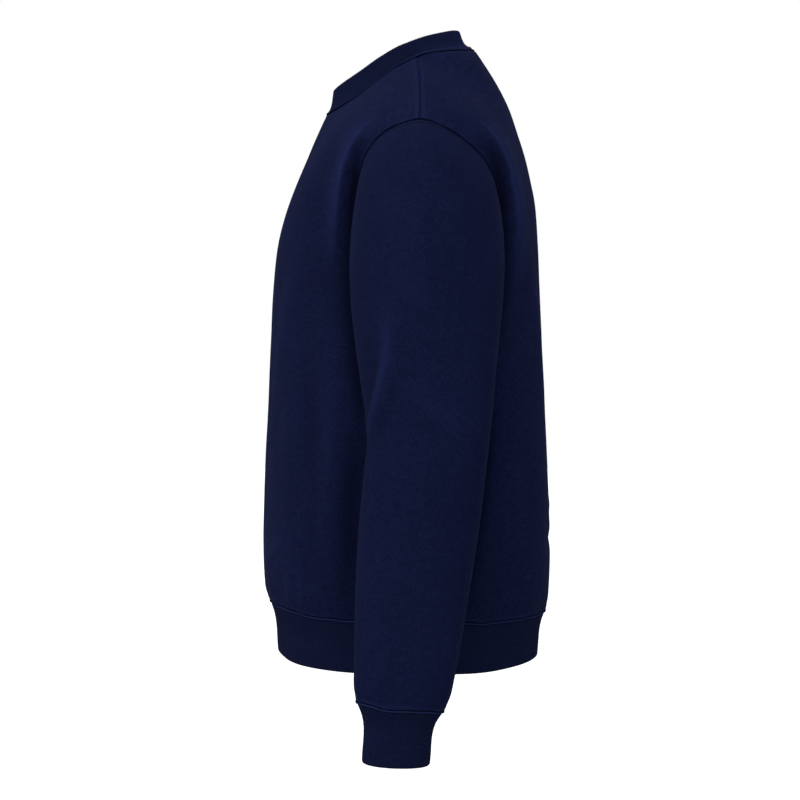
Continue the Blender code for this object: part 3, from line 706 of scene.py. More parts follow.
def half_panel(front, degrees):
    """Left half of a panel, hem row first: body sections, then ovals that end at the armhole.

    Above the underarm each row is lifted by its share s^power of the way from the last oval to the
    neckline and shoulder seam.
    """
    table = np.array(BODY)
    low, high = table[0, 0], table[-1, 0]
    heights = low + graded(high - low, True, False)
    lower = body_ring(degrees if front else 180.0 - degrees, smooth(heights, table[:, 0], table))
    ways = graded(PANEL_RISE, False, True) / PANEL_RISE
    centre_rows = CENTRE_FRONT if front else CENTRE_BACK
    centre = along(centre_rows, 0, len(centre_rows) - 1, ways)
    side = armhole(ways, front)
    top = panel_top(degrees, front)
    top_width = np.clip(top[:, 0] / side[-1, 0], 0.0, 1.0)
    top_share = 0.5 * (top_width + np.degrees(np.arcsin(top_width)) / 90.0)
    swell = FRONT_ROUNDNESS if front else BACK_ROUNDNESS
    upper = upper_rows(ways, centre, side, degrees / 90.0, top_share, swell)
    lift = top - upper[-1]
    powers = np.array(TURN_POWERS)
    places = [degrees + (90.0 * top_share - degrees) * s for s in ways]
    lifts = [spread(lift, place, 1.0 - s) * s ** powers for s, place in zip(ways, places)]
    return np.concatenate((lower, (upper + np.array(lifts))[1:])), len(heights) - 1


def panel_grid(front):
    """A whole panel's outer face: points, normals, relief of folds, gathers and edges, painted
    light and shade.
    """
    degrees = half_degrees(front)
    half, under = half_panel(front, degrees)
    whole = np.concatenate((-degrees[:0:-1], degrees))
    points = np.concatenate((half[:, :0:-1] * (-1, 1, 1), half), axis=1)
    turned = whole if front else 180.0 - whole
    up = lengths(points, 0)
    points[..., 2] += seam_wave(turned, SEAM_WAVES) * (1.0 - step_up(up / SEAM_WAVE_REACH))
    points[..., 2] += waist_rise(turned) * (1.0 - step_up(up / WAIST_RISE_REACH))
    normals = normals_of(points, False) * (1.0 if front else -1.0)
    up = lengths(points, 0)
    down = up[-1] - up
    across = lengths(points, 1)
    side = np.minimum(across, across[:, -1:] - across)
    inside = np.minimum(np.minimum(up, down), side)
    folds = fold_rise(points[..., 1:], SIDE_FOLDS)
    folds += fold_rise(points[..., ::2], FRONT_FOLDS if front else BACK_FOLDS)
    over = (np.arange(len(points)) >= under)[:, None]
    armhole_side = armhole_edge(side, points[..., 2], BODY_OVER, BODY_UNDER)
    beside = np.where(over, armhole_side, edge(side, SIDE_EDGE))
    neckline = edge(down, NECK_EDGE) * (1.0 if front else BACK_NECK_EDGE)
    atop = np.where(np.abs(whole) <= neck_span(front), neckline, shoulder_edge(down))
    edges = edge(up, HEM_EDGE) + beside + atop
    relief = folds * step_up(inside / PANEL_MARGIN) + hem_gathers(across, up, HEM_GATHER_REACH)
    relief += edges + ARMHOLE_GATHERS * gathers(up, side, SEAM_GATHER_REACH)
    relief += TOP_GATHERS * gathers(across + TOP_SHIFT, down, SEAM_GATHER_REACH)
    # Painted highlights on seam edges and fold crests, painted shade in grooves, valleys and
    # hollows
    painted_shading = edge_shading(edges) + fold_shading(folds) + fold_rise(points[..., 1:], SIDE_PAINTED_LIGHT)
    return points, normals, relief, painted_shading


def ring_degrees():
    """Columns round a sleeve, close together beside its underarm seam."""
    fine, coarse = TUBE_DEGREES_A_MM
    half = graded(180.0, False, True, FINE * fine, COARSE * coarse, FINE_REACH * fine)
    return np.concatenate((half, 360.0 - half[-2:0:-1]))


def sleeve_cap(degrees):
    """Rows from the armhole to the first full section: cubics that leave outward and down."""
    front = degrees <= 180.0
    ways = np.where(front, 1.0 - degrees / 180.0, degrees / 180.0 - 1.0)
    start = np.where(front[:, None], armhole(ways, True), armhole(ways, False))
    end = tube_ring(degrees, SLEEVE[0])
    after = tube_ring(degrees, SLEEVE[1])
    angle = np.radians(degrees)[:, None]
    share = 0.5 * (1.0 + np.cos(angle))
    out, up = (low + more * share for low, more in (CAP_OUT, CAP_UP))
    outward = np.hstack((out, -CAP_FORWARD * np.sin(angle), up))
    reach = np.linalg.norm(end - start, axis=1)[:, None]
    leave = unit(outward) * reach * CAP_LEAVE
    arrive = unit(after - end) * reach * CAP_ARRIVE
    ways = graded(CAP_LENGTH, True, False) / CAP_LENGTH
    t = ways[:, None, None]
    head = start * (1 + 2 * t) * (1 - t) ** 2 + leave * t * (1 - t) ** 2
    return head + end * t * t * (3 - 2 * t) + arrive * t * t * (t - 1)


def sleeve_grid(inner_folds):
    """The left sleeve's outer face, as a panel's: a cap and then sections.

    Its upper edge is tucked in behind the armhole, as its seam allowance is.
    """
    degrees = ring_degrees()
    cap = sleeve_cap(degrees)
    table = np.array(SLEEVE)
    below = table[0, 0] - table[:, 0]
    depths = graded(below[-1], False, True)
    points = np.concatenate((cap, tube_ring(degrees, smooth(depths, below, table))[1:]))
    down = lengths(points, 0)
    up = down[-1] - down
    points[..., 2] += cuff_rise(degrees) * (1.0 - step_up(up / CUFF_RISE_REACH))
    normals = normals_of(points, True)
    across = lengths(joined(points), 1)[:, :-1]
    under = np.abs(across - across[:, len(degrees) // 2][:, None])
    outer = (points[..., 0] > table[0, 3]).astype(float)
    folds = fold_rise(points[..., 1:], SLEEVE_FOLDS) * outer
    round_down = np.stack(np.broadcast_arrays(degrees * DEGREE_LENGTH, points[..., 2]), axis=-1)
    scaled = [(rise, half_width, np.array(path) * (DEGREE_LENGTH, 1))
              for rise, half_width, path in inner_folds]
    folds += fold_rise(round_down, scaled)
    folds *= step_up(np.minimum(down, up) / SLEEVE_MARGIN)
    relief = folds + hem_gathers(across, up, CUFF_GATHER_REACH)
    relief += ARMHOLE_GATHERS * gathers(across + CAP_SHIFT, down, SEAM_GATHER_REACH)
    edges = edge(up, HEM_EDGE) + armhole_edge(down, points[..., 2], SLEEVE_OVER, SLEEVE_UNDER)
    edges += edge(under, SIDE_EDGE) * step_up(down / UNDERARM_SEAM_REACH)
    # Painted highlights on seam edges and fold crests, painted shade in grooves, valleys and
    # hollows
    painted_shading = edge_shading(edges) + fold_shading(folds) + fold_rise(points[..., 1:], SLEEVE_PAINTED_LIGHT) * outer
    tuck = SLEEVE_TUCK * bell(down / TUCK_REACH)
    return points + unit(points[0] - points[1]) * tuck[..., None], normals, relief + edges, painted_shading


def even_turns(make_loop, pitch, columns):
    """Degrees that cut a closed loop into whole ribs, each with an equal count of columns."""
    dense = np.linspace(0.0, 360.0, TURN_SAMPLES)
    gone = lengths(make_loop(dense), 0)
    count = int(round(gone[-1] / pitch)) * columns
    return np.interp(np.linspace(0.0, gone[-1], count, endpoint=False), gone, dense)


def collar_rows(degrees):
    """Three rows of the collar: neck seam, bend above it, folded edge."""
    low = neck_loop(degrees)
    high = collar_fold(degrees)
    return np.array((low, low + (high - low) * COLLAR_BEND, high))


def cuff_rows(degrees):
    """Three rows of the left cuff, from its seam down, the seam straying with the sleeve's."""
    rows = tube_ring(degrees, CUFF)
    rows[0, :, 2] += cuff_rise(degrees)
    rows[1, :, 2] += CUFF_BEND_RISE * cuff_rise(degrees)
    level, outermost, ahead = CUFF_DROP
    turn = np.radians(degrees)
    rows[2, :, 2] -= level + outermost * np.cos(turn) + ahead * np.sin(turn)
    return rows


def waistband_rows(degrees):
    """Three rows of the waistband, from its seam down, the seam straying with the body's."""
    rows = body_ring(degrees, WAISTBAND)
    rows[:2, :, 2] += waist_rise(degrees)
    rows[2, :, 2] += even_height(degrees, WAIST_FOLD_RISE)
    rows[0, :, 2] += seam_wave(degrees, SEAM_WAVES)
    return rows


def nips(around, pitch, half_width):
    """Where stitches nip a ridge: a bell in the middle of every pitch."""
    return bell((around % pitch - 0.5 * pitch) / half_width)


def hem_ridge(distance, around, turn):
    """Rolled ridge beside a hem or cuff seam, nipped by slanting stitches, with a groove below."""
    height, half_width = HEM_RIDGE
    pitch, half_nip, slant, share = HEM_NIPS
    nip = nips(around + slant * distance, pitch, half_nip)
    arch = np.sqrt(np.clip(1.0 - (distance / half_width - 1.0) ** 2, 0.0, 1.0))
    return height * arch * (1.0 - share * nip) + edge(distance, HEM_GROOVES)


def neck_ridge(distance, around, turn):
    """Ridge above the neck seam: narrow in front, a flat stitched band round the back."""
    back = step_up((NECK_BACK_SPAN - np.abs(turn % 360.0 - 180.0)) / NECK_BACK_FADE)
    pairs = (NECK_RIDGE, NECK_RIDGE_WIDTH, NECK_NIP)
    height, width, depth = (front + more * back for front, more in pairs)
    pitch, half_along, half_across = NECK_NIPS
    nip = nips(around, pitch, half_along) * bell((distance - 0.5 * width) / half_across)
    arch = np.sqrt(np.clip(1.0 - (2.0 * distance / width - 1.0) ** 4, 0.0, 1.0))
    past = distance - width
    grooves = edge(distance, NECK_GROOVE) + edge(past, NECK_FAR_GROOVE)
    return height * arch + back * edge(past, NECK_LIP) - depth * nip + grooves


def band_grid(kind, sizes):
    """A folded rib band as one closed section carried round: outer side, fold, inner side.

    The outer side follows the three rows, the fold is a half circle as wide as the band is thick,
    and ribs are a cosine along the band's length.
    """
    pitch, thickness = sizes["rib_pitch"], sizes["rib_thickness"]
    # The ribs' height, and their painted light and shade: paler crests, darker grooves
    height, painted_shading = sizes["rib_height"] * kind.depth, RIB_SHADING * kind.depth
    turn = even_turns(lambda degrees: kind.make_rows(degrees)[2], pitch, kind.columns)
    rows = kind.make_rows(turn)
    spans = np.linalg.norm(np.diff(rows, axis=0), axis=-1).mean(axis=1)
    depth = spans.sum()
    half = 0.5 * thickness
    first = np.array([row for row in BAND_ROWS if row < depth - BAND_ROWS_END])
    count = int((depth - first[-1]) / BAND_STEP) + 2
    down = np.concatenate((first, np.linspace(first[-1], depth - half, count)[1:]))
    outer = smooth(down, (0.0, spans[0], depth), rows)
    normals = normals_of(outer, True) * kind.sign
    columns = np.arange(len(turn))
    wave = 0.5 + 0.5 * np.cos(2.0 * np.pi * columns / kind.columns)
    ribs = height * wave[:, None]
    distance = down[:, None]
    strength = step_up((distance - RIB_START) / RIB_RISE)
    ridge = kind.ridge(distance, columns * (pitch / kind.columns), turn)
    face = outer + normals * (ridge + height * wave * strength)[..., None]
    # Painted light and shade: paler on the ridge and rib crests, darker in grooves and at the
    # foot, paler round the back
    face_shading = kind.rub * edge_shading(ridge) + painted_shading * (wave - 0.5) * strength
    face_shading += kind.fade * step_up((BACK_LIGHT_SPAN - np.abs(turn - 180.0)) / BACK_LIGHT_REACH)
    face_shading -= kind.foot * bell(distance / FOOT_HALF_WIDTH)
    theta = np.linspace(0.0, np.pi, FOLD_ROWS + 2)[1:-1, None, None]
    radial = normals[-1] * np.cos(theta) + unit(np.gradient(outer, axis=0))[-1] * np.sin(theta)
    bend = outer[-1] - normals[-1] * half + radial * (half + ribs)
    kept = np.unique(np.searchsorted(down, np.linspace(0.0, down[-1], INNER_ROWS)))[::-1]
    inner = outer[kept] - normals[kept] * (thickness + ribs * RIB_INSIDE)
    grid = np.concatenate((face, bend, inner)) * (kind.mirror, 1, 1)
    # The ribs' painted light and shade goes on round the fold and the inner side
    fold_and_inner_shading = np.broadcast_to(painted_shading * (wave - 0.5), (len(bend) + len(inner), len(turn)))
    return grid, np.concatenate((face_shading, fold_and_inner_shading))


def in_scene(name, data):
    """A new object that holds the data, in the scene."""
    thing = bpy.data.objects.new(name, data)
    bpy.context.scene.collection.objects.link(thing)
    return thing


def smooth_mesh(name, vertices, faces, materials):
    """A smooth-shaded mesh from vertices in millimetres."""
    mesh = bpy.data.meshes.new(name)
    mesh.from_pydata((vertices / MM).tolist(), [], faces)
    mesh.polygons.foreach_set("use_smooth", np.ones(len(faces), bool))
    for material in materials:
        mesh.materials.append(material)
    return mesh


def surface(name, vertices, faces, corner_uv, painted_shading, materials, which):
    """One mesh object from its vertices, quads, a UV for each corner and a material index.

    Painted light and shade is stored at each vertex: above 0 a highlight, below 0 shade, as in a
    groove.
    """
    mesh = smooth_mesh(name, vertices, faces.tolist(), materials)
    layer = mesh.uv_layers.new(name="Cloth")
    layer.data.foreach_set("uv", (corner_uv / MM).astype(np.float32).ravel())
    painted_tone = mesh.attributes.new("PaintedShading", "FLOAT", "POINT")
    painted_tone.data.foreach_set("value", np.clip(painted_shading, -1.0, 1.0).astype(np.float32))
    mesh.polygons.foreach_set("material_index", np.asarray(which, np.int32))
    mesh.update()
    return in_scene(name, mesh)


def cells(rows, columns, closed, offset, flip):
    """Quads of a grid, with the same corners counted on an unrolled grid for its UV."""
    across = np.arange(columns if closed else columns - 1)
    r, c = (part.ravel() for part in np.meshgrid(np.arange(rows - 1), across, indexing="ij"))

    def quads(count, after):
        low, high = r * count, (r + 1) * count
        corners = np.stack((low + c, low + after, high + after, high + c), axis=1)
        return corners[:, ::-1] if flip else corners

    wide = columns + 1 if closed else columns
    return quads(columns, (c + 1) % columns) + offset, quads(wide, c + 1)


def cloth_uv(points, closed):
    """Flat place of each grid point: length gone from its row's middle, and down its column."""
    if closed:
        points = joined(points)
    across = lengths(points, 1)
    middle = 0.5 * across[:, -1:]
    return np.stack((across - middle, lengths(points, 0)), axis=-1).reshape(-1, 2)


def rim_quads(count_rows, columns, closed, total, flip):
    """Quads that close the wall between the edges of its outer and inner grids."""
    if closed:
        first = np.arange(columns)
        last = (count_rows - 1) * columns + np.arange(columns)
        loops = [(first, True), (last, False)]
    else:
        bottom = np.arange(columns)
        right = np.arange(1, count_rows) * columns + columns - 1
        top = (count_rows - 1) * columns + np.arange(columns - 2, -1, -1)
        left = np.arange(count_rows - 2, 0, -1) * columns
        loops = [(np.concatenate((bottom, right, top, left)), True)]
    quads = []
    for edge, forward in loops:
        following = np.roll(edge, -1)
        quad = np.stack((following, edge, edge + total, following + total), axis=1)
        quads.append(quad if forward != flip else quad[:, ::-1])
    return np.concatenate(quads)


def wall(name, grid, closed, flip, thickness, materials):
    """A closed wall of cloth: its outer face raised by relief, its inner face set in from it."""
    points, normals, relief, painted_shading = grid
    rows, columns = relief.shape
    total = rows * columns
    outer = points + normals * relief[..., None]
    folds = np.clip(relief, -thickness, None)
    folds -= np.clip(folds, -INSIDE_FOLLOWS_FROM, INSIDE_FOLLOWS_FROM)
    inner = points + normals * (INSIDE_FOLLOWS * folds - thickness)[..., None]
    vertices = np.concatenate((outer.reshape(-1, 3), inner.reshape(-1, 3)))
    out_faces, out_uv = cells(rows, columns, closed, 0, flip)
    in_faces, in_uv = cells(rows, columns, closed, total, not flip)
    rim = rim_quads(rows, columns, closed, total, flip)
    uv = cloth_uv(points, closed)
    corner_uv = np.concatenate((uv[out_uv], uv[in_uv], np.zeros((len(rim), 4, 2))))
    faces = np.concatenate((out_faces, in_faces, rim))
    which = np.repeat((0, 1, 0), (len(out_faces), len(in_faces), len(rim)))
    # Painted light and shade on the outer face, none on the inner
    vertex_shading = np.concatenate((painted_shading.ravel(), np.zeros(total)))
    return surface(name, vertices, faces, corner_uv, vertex_shading, materials, which), outer


def band(name, grid, painted_shading, flip, material):
    """A folded rib band's mesh: its section rows joined round, and the seam edges joined."""
    rows, columns = grid.shape[:2]
    faces, unrolled = cells(rows, columns, True, 0, flip)
    here = np.arange(columns)
    there = np.roll(here, -1)
    last = (rows - 1) * columns
    close = np.stack((there, here, last + here, last + there), axis=1)
    if flip:
        close = close[:, ::-1]
    corner_uv = np.concatenate((cloth_uv(grid, True)[unrolled], np.zeros((columns, 4, 2))))
    faces = np.concatenate((faces, close))
    which = np.zeros(len(faces))
    return surface(name, grid.reshape(-1, 3), faces, corner_uv, painted_shading.ravel(), [material], which)


def offset_line(points, normals, distance, longer=1.0):
    """Line at a distance from the first row of a grid, with its normals, for a row of stitches."""
    gone = lengths(points, 0)
    after = np.argmax(gone > distance, axis=0)
    columns = np.arange(points.shape[1])
    before = after - 1
    start = gone[before, columns]
    share = ((distance - start) / (gone[after, columns] - start))[:, None]
    line, out = (grid[before, columns] * (1 - share) + grid[after, columns] * share
                 for grid in (points, normals))
    return line, unit(out), longer


def stitches(name, lines, sizes, material):
    """Rows of stitches: each a short bar along its line, its thin ends dipping into the cloth.

    Each line comes with its normals and with how much longer than the others its stitches are.
    """
    pitch, length, thickness = (sizes[key] for key in STITCH_SIZES)
    place, swell = np.transpose(STITCH_RINGS)[..., None]
    sides = np.radians(np.arange(STITCH_SIDES) * 360 / STITCH_SIDES)
    base = np.zeros((len(place), len(sides), 3))
    base[..., 0] = place * 0.5 * length
    base[..., 1] = swell * np.cos(sides) * 0.5 * thickness
    base[..., 2] = swell * np.sin(sides) * 0.5 * thickness
    base[..., 2] += (STITCH_STAND - STITCH_DIP * place ** 4) * thickness
    base = base.reshape(-1, 3)
    count = len(sides)
    quads, _ = cells(len(place), count, True, 0, False)
    caps = [tuple(range(count))[::-1], tuple(range(len(base) - count, len(base)))]
    vertices = []
    faces = []
    offset = 0
    for line, normals, longer in lines:
        gone = lengths(line, 0)
        places = np.arange(0.5 * pitch, gone[-1], pitch * longer)
        up = unit(at_lengths(places, gone, normals))
        ahead, behind = (at_lengths(places + step, gone, line) for step in (0.5, -0.5))
        forward = unit(ahead - behind)
        turned = np.stack((forward, unit(np.cross(up, forward)), up), axis=1)
        placed = at_lengths(places, gone, line)[:, None] + (base * (longer, 1, 1))[None] @ turned
        vertices.append(placed.reshape(-1, 3))
        start = offset + np.arange(len(places))[:, None, None] * len(base)
        faces += (start + quads[None]).reshape(-1, 4).tolist()
        for cap in caps:
            faces += (start[:, 0] + np.array(cap)[None]).tolist()
        offset += len(places) * len(base)
    mesh = smooth_mesh(name, np.concatenate(vertices), faces, [material])
    mesh.update()
    return in_scene(name, mesh)


# Soft lights of the studio, each a wide glow round a direction that fades as its cosine's power
# Columns: towards, power, strength
GLOWS = (
    ((0, 0, 1), 2, 0.43),
    ((0, -1, 0), 3, 0.71),
    ((0.7, 0, 0.7), 3, 0.9),
    ((0.7, -0.7, 0), 3, 0.19),
    ((-0.7, 0, 0.7), 3, 0.15),
    ((-1, 0, 0), 3, 0.1),
    ((-0.7, 0.7, 0), 3, 0.16),
)
WHITE = (1.0, 1.0, 1.0, 1.0)
FLOOR_GLOW = 1.0
# The floor in metres: how far it lies below the origin and reaches to each side
FLOOR_BELOW_ORIGIN = 1.45
FLOOR_REACH = 30.0
# The camera: focal length and sensor width in millimetres, place in metres
CAMERA_LENS = 92.05
CAMERA_SENSOR = 36.0
CAMERA_PLACE = (2.25, -0.018, -0.3626)

# Millimetres that a wale is wide and a course is high, in the fleece's face and in the rib
FLEECE_KNIT = (0.95, 0.8)
RIB_KNIT = (1.05, 0.9)
# Shares of fine, streaked and cloudy noise in the mottle, its power, and how much stronger it is
# over the shoulders
MOTTLE = (0.75, 0.12, 0.13)
MOTTLE_POWER = 1.5
MOTTLE_MORE = 0.45
# Reach of the mottle, and the lengths of cloth up its piece between which it gets stronger
PANEL_MOTTLE = (0.17, (400.0, 540.0))
SLEEVE_MOTTLE = (0.22, (900.0, 1000.0))
SHEEN_ROUGHNESS = 0.3
CLOTH_SPECULAR = 0.02


class Nodes:
    """Short hand for the node tree of a material or world, which starts empty."""

    def __init__(self, owner):
        self.owner = owner
        owner.use_nodes = True
        self.tree = owner.node_tree
        self.tree.nodes.clear()

    def fill(self, socket, value):
        """Set an input, or link it where the value is another node's output."""
        if isinstance(value, bpy.types.NodeSocket):
            self.tree.links.new(value, socket)
        else:
            socket.default_value = value

    def add(self, kind, **inputs):
        """Add a node and fill its named inputs."""
        node = self.tree.nodes.new(kind)
        for key, value in inputs.items():
            self.fill(node.inputs[key.replace("_", " ")], value)
        return node

    def maths(self, operation, *values):
        """A maths node of two or three values."""
        node = self.add("ShaderNodeMath")
        node.operation = operation
        for socket, value in zip(node.inputs, values):
            self.fill(socket, value)
        return node.outputs[0]

    def output(self, kind, shader):
        """Join the shader to the tree's output and give back what the tree belongs to."""
        self.add(kind, Surface=shader.outputs[0])
        return self.owner

    def cloth_place(self):
        """Flat place on the cloth in millimetres, from its UV."""
        source = self.add("ShaderNodeUVMap")
        source.uv_map = "Cloth"
        mapping = self.add("ShaderNodeMapping", Vector=source.outputs["UV"], Scale=(MM, MM, MM))
        return mapping.outputs["Vector"]

    def noise(self, place, size, stretch=(1.0, 1.0), detail=2.0, rough=0.5):
        """Noise whose lumps are about size millimetres, stretched along the cloth."""
        scale = (1.0 / (size * stretch[0]), 1.0 / (size * stretch[1]), 1.0)
        mapping = self.add("ShaderNodeMapping", Vector=place, Scale=scale)
        node = self.add("ShaderNodeTexNoise", Vector=mapping.outputs["Vector"], Scale=1.0,
                        Detail=detail, Roughness=rough)
        return node.outputs["Fac"]

    def mix(self, share, first, second):
        """Colour between two, by a share."""
        node = self.add("ShaderNodeMix")
        node.data_type = "RGBA"
        self.fill(node.inputs[0], share)
        colours = [socket for socket in node.inputs if socket.type == "RGBA"]
        for socket, value in zip(colours, (first, second)):
            self.fill(socket, value)
        return [socket for socket in node.outputs if socket.type == "RGBA"][0]

    def ramp(self, value, low, high):
        """Value stretched so that low becomes 0 and high becomes 1."""
        node = self.add("ShaderNodeMapRange", Value=value, From_Min=low, From_Max=high)
        return node.outputs["Result"]

    def bump(self, height, distance, strength, **inputs):
        """Relief of a height in millimetres, with the node's other inputs by name."""
        node = self.add("ShaderNodeBump", Height=height, Strength=strength,
                        Distance=distance / MM, **inputs)
        return node.outputs["Normal"]

    def cloth(self, colour, roughness, normal, sheen, colours):
        """The cloth shader's material."""
        shader = self.add(
            "ShaderNodeBsdfPrincipled", Base_Color=colour, Roughness=roughness, Normal=normal,
            Sheen_Weight=sheen, Sheen_Roughness=SHEEN_ROUGHNESS, Sheen_Tint=tuple(colours.nap),
            Specular_IOR_Level=CLOTH_SPECULAR)
        return self.output("ShaderNodeOutputMaterial", shader)


def material_nodes(name):
    """Empty node tree of the material of a name, made where there is none yet."""
    return Nodes(bpy.data.materials.get(name) or bpy.data.materials.new(name))


def with_painted_shading(nodes, colour, pale, dark):
    """Colour painted paler as highlight where the piece's painted shading is above 0, darker as
    shade below.
    """
    painted_shading = nodes.add("ShaderNodeAttribute")
    painted_shading.attribute_name = "PaintedShading"
    for sign, target in ((1.0, pale), (-1.0, dark)):
        share = nodes.maths("MAXIMUM", nodes.maths("MULTIPLY", painted_shading.outputs["Fac"], sign), 0.0)
        colour = nodes.mix(nodes.maths("MINIMUM", share, 1.0), colour, target)
    return colour


def shade(colour, factor):
    """A colour made lighter or darker."""
    return tuple(min(c * factor, 1.0) for c in colour[:3]) + (1.0,)


def knit_loops(nodes, place, knit):
    """Height of knitted loops: a wave down each wale whose phase slants to a V across the wale."""
    wale, course = knit
    split = nodes.add("ShaderNodeSeparateXYZ", Vector=place)
    across = nodes.maths("DIVIDE", split.outputs["X"], wale)
    down = nodes.maths("DIVIDE", split.outputs["Y"], course)
    slant = nodes.maths("PINGPONG", across, 0.5)
    phase = nodes.maths("MULTIPLY", nodes.maths("ADD", down, slant), 2.0 * np.pi)
    loops = nodes.maths("SINE", phase)
    groove = nodes.maths("COSINE", nodes.maths("MULTIPLY", across, 2.0 * np.pi))
    return nodes.maths("MULTIPLY_ADD", groove, -0.6, nodes.maths("MULTIPLY", loops, 0.5))


def fleece_face(colours, name, reach, shoulders):
    """Smooth knitted face of the fleece: wales and courses, a heathered mottle and a soft nap.

    The shorter the reach, the more the mottle's dark and light yarns stand apart, and more again
    between the two lengths of cloth given by shoulders.
    """
    nodes = material_nodes(name)
    place = nodes.cloth_place()
    loops = knit_loops(nodes, place, FLEECE_KNIT)
    fine = nodes.noise(place, 0.95, (1.3, 0.8), 1.0, 0.5)
    streak = nodes.noise(place, 2.8, (1.6, 0.9), 1.0, 0.5)
    cloud = nodes.noise(place, 7.0, (1.3, 1.0), 2.0, 0.55)
    broad = nodes.noise(place, 60.0, (1.0, 1.4), 2.0, 0.5)
    dark = shade(colours.fleece, 0.45)
    light = shade(colours.fleece_light, 1.5)
    fine_share, streak_share, cloud_share = MOTTLE
    mottle = nodes.maths("MULTIPLY", fine, fine_share)
    mottle = nodes.maths("MULTIPLY_ADD", streak, streak_share, mottle)
    mottle = nodes.maths("MULTIPLY_ADD", cloud, cloud_share, mottle)
    up = nodes.add("ShaderNodeSeparateXYZ", Vector=place).outputs["Y"]
    stronger = nodes.maths("MULTIPLY_ADD", nodes.ramp(up, *shoulders), MOTTLE_MORE, 1.0)
    mottle = nodes.maths("MULTIPLY_ADD", nodes.maths("SUBTRACT", mottle, 0.5), stronger, 0.5)
    mottle = nodes.ramp(mottle, 0.5 - reach, 0.5 + reach)
    colour = nodes.mix(nodes.maths("POWER", mottle, MOTTLE_POWER), dark, light)
    colour = nodes.mix(nodes.maths("MULTIPLY", nodes.ramp(broad, 0.35, 0.65), 0.22), colour, dark)
    # Painted highlights and painted shade by the piece's painted shading
    colour = with_painted_shading(nodes, colour, shade(colours.fleece_light, 2.0), shade(colours.fleece, 0.3))
    normal = nodes.bump(loops, 0.10, 0.4)
    normal = nodes.bump(fine, 0.12, 0.2, Normal=normal)
    normal = nodes.bump(cloud, 0.35, 0.25, Normal=normal)
    rough = nodes.ramp(streak, -2.0, 1.2)
    return nodes.cloth(colour, rough, normal, 0.13, colours)


def fleece_inside(colours):
    """Brushed back of the fleece: a fluffy pile in soft tufts."""
    nodes = material_nodes("fleece_inside")
    place = nodes.cloth_place()
    tuft = nodes.noise(place, 2.2, (1.0, 1.2), 4.0, 0.7)
    cloud = nodes.noise(place, 14.0, (1.0, 1.0), 3.0, 0.6)
    dark, middle, light = (shade(colours.inside, factor) for factor in (0.6, 0.8, 1.4))
    colour = nodes.mix(nodes.ramp(tuft, 0.3, 0.7), dark, light)
    colour = nodes.mix(nodes.maths("MULTIPLY", cloud, 0.3), colour, middle)
    normal = nodes.bump(tuft, 0.9, 0.7)
    normal = nodes.bump(cloud, 1.5, 0.4, Normal=normal)
    return nodes.cloth(colour, 0.95, normal, 0.08, colours)


def rib_knit(colours):
    """Rib knit: small loops along the ribs with a fine mottle."""
    nodes = material_nodes("rib_knit")
    place = nodes.cloth_place()
    loops = knit_loops(nodes, place, RIB_KNIT)
    fine = nodes.noise(place, 1.8, (0.8, 2.2), 2.0, 0.6)
    cloud = nodes.noise(place, 20.0, (1.3, 1.0), 2.0, 0.5)
    # The first and last colours are the painted shade and the painted highlight
    groove, dark, cloudy, light, painted_tone = (
        shade(colours.rib, factor) for factor in (0.3, 0.65, 1.3, 1.35, 3.0))
    colour = nodes.mix(nodes.ramp(fine, 0.3, 0.7), dark, light)
    colour = nodes.mix(nodes.maths("MULTIPLY", nodes.ramp(cloud, 0.35, 0.7), 0.3), colour, cloudy)
    colour = with_painted_shading(nodes, colour, painted_tone, groove)
    normal = nodes.bump(loops, 0.14, 0.5)
    normal = nodes.bump(fine, 0.3, 0.4, Normal=normal)
    return nodes.cloth(colour, nodes.ramp(fine, -2.0, 1.2), normal, 0.1, colours)


def thread_finish(colours):
    """Sewing thread: plies twisted across its length."""
    nodes = material_nodes("thread")
    place = nodes.add("ShaderNodeTexCoord").outputs["Object"]
    twist = nodes.add("ShaderNodeTexWave", Vector=place, Scale=700.0, Distortion=1.5)
    twist.bands_direction = "DIAGONAL"
    plies = twist.outputs["Fac"]
    colour = nodes.mix(plies, shade(colours.thread, 0.75), shade(colours.thread, 1.25))
    return nodes.cloth(colour, 0.9, nodes.bump(plies, 0.05, 0.5), 0.0, colours)


def floor_paint(colours):
    """Matt pale floor with the faintest unevenness, white to the camera."""
    nodes = material_nodes("floor_paint")
    place = nodes.add("ShaderNodeTexCoord").outputs["Object"]
    uneven = nodes.add("ShaderNodeTexNoise", Vector=place, Scale=3.0, Detail=2.0).outputs["Fac"]
    colour = nodes.mix(uneven, shade(colours.floor, 0.985), tuple(colours.floor))
    seen = nodes.add("ShaderNodeLightPath").outputs["Is Camera Ray"]
    shader = nodes.add(
        "ShaderNodeBsdfPrincipled", Base_Color=colour, Roughness=0.9, Specular_IOR_Level=0.0,
        Emission_Color=WHITE, Emission_Strength=nodes.maths("MULTIPLY", seen, FLOOR_GLOW))
    return nodes.output("ShaderNodeOutputMaterial", shader)


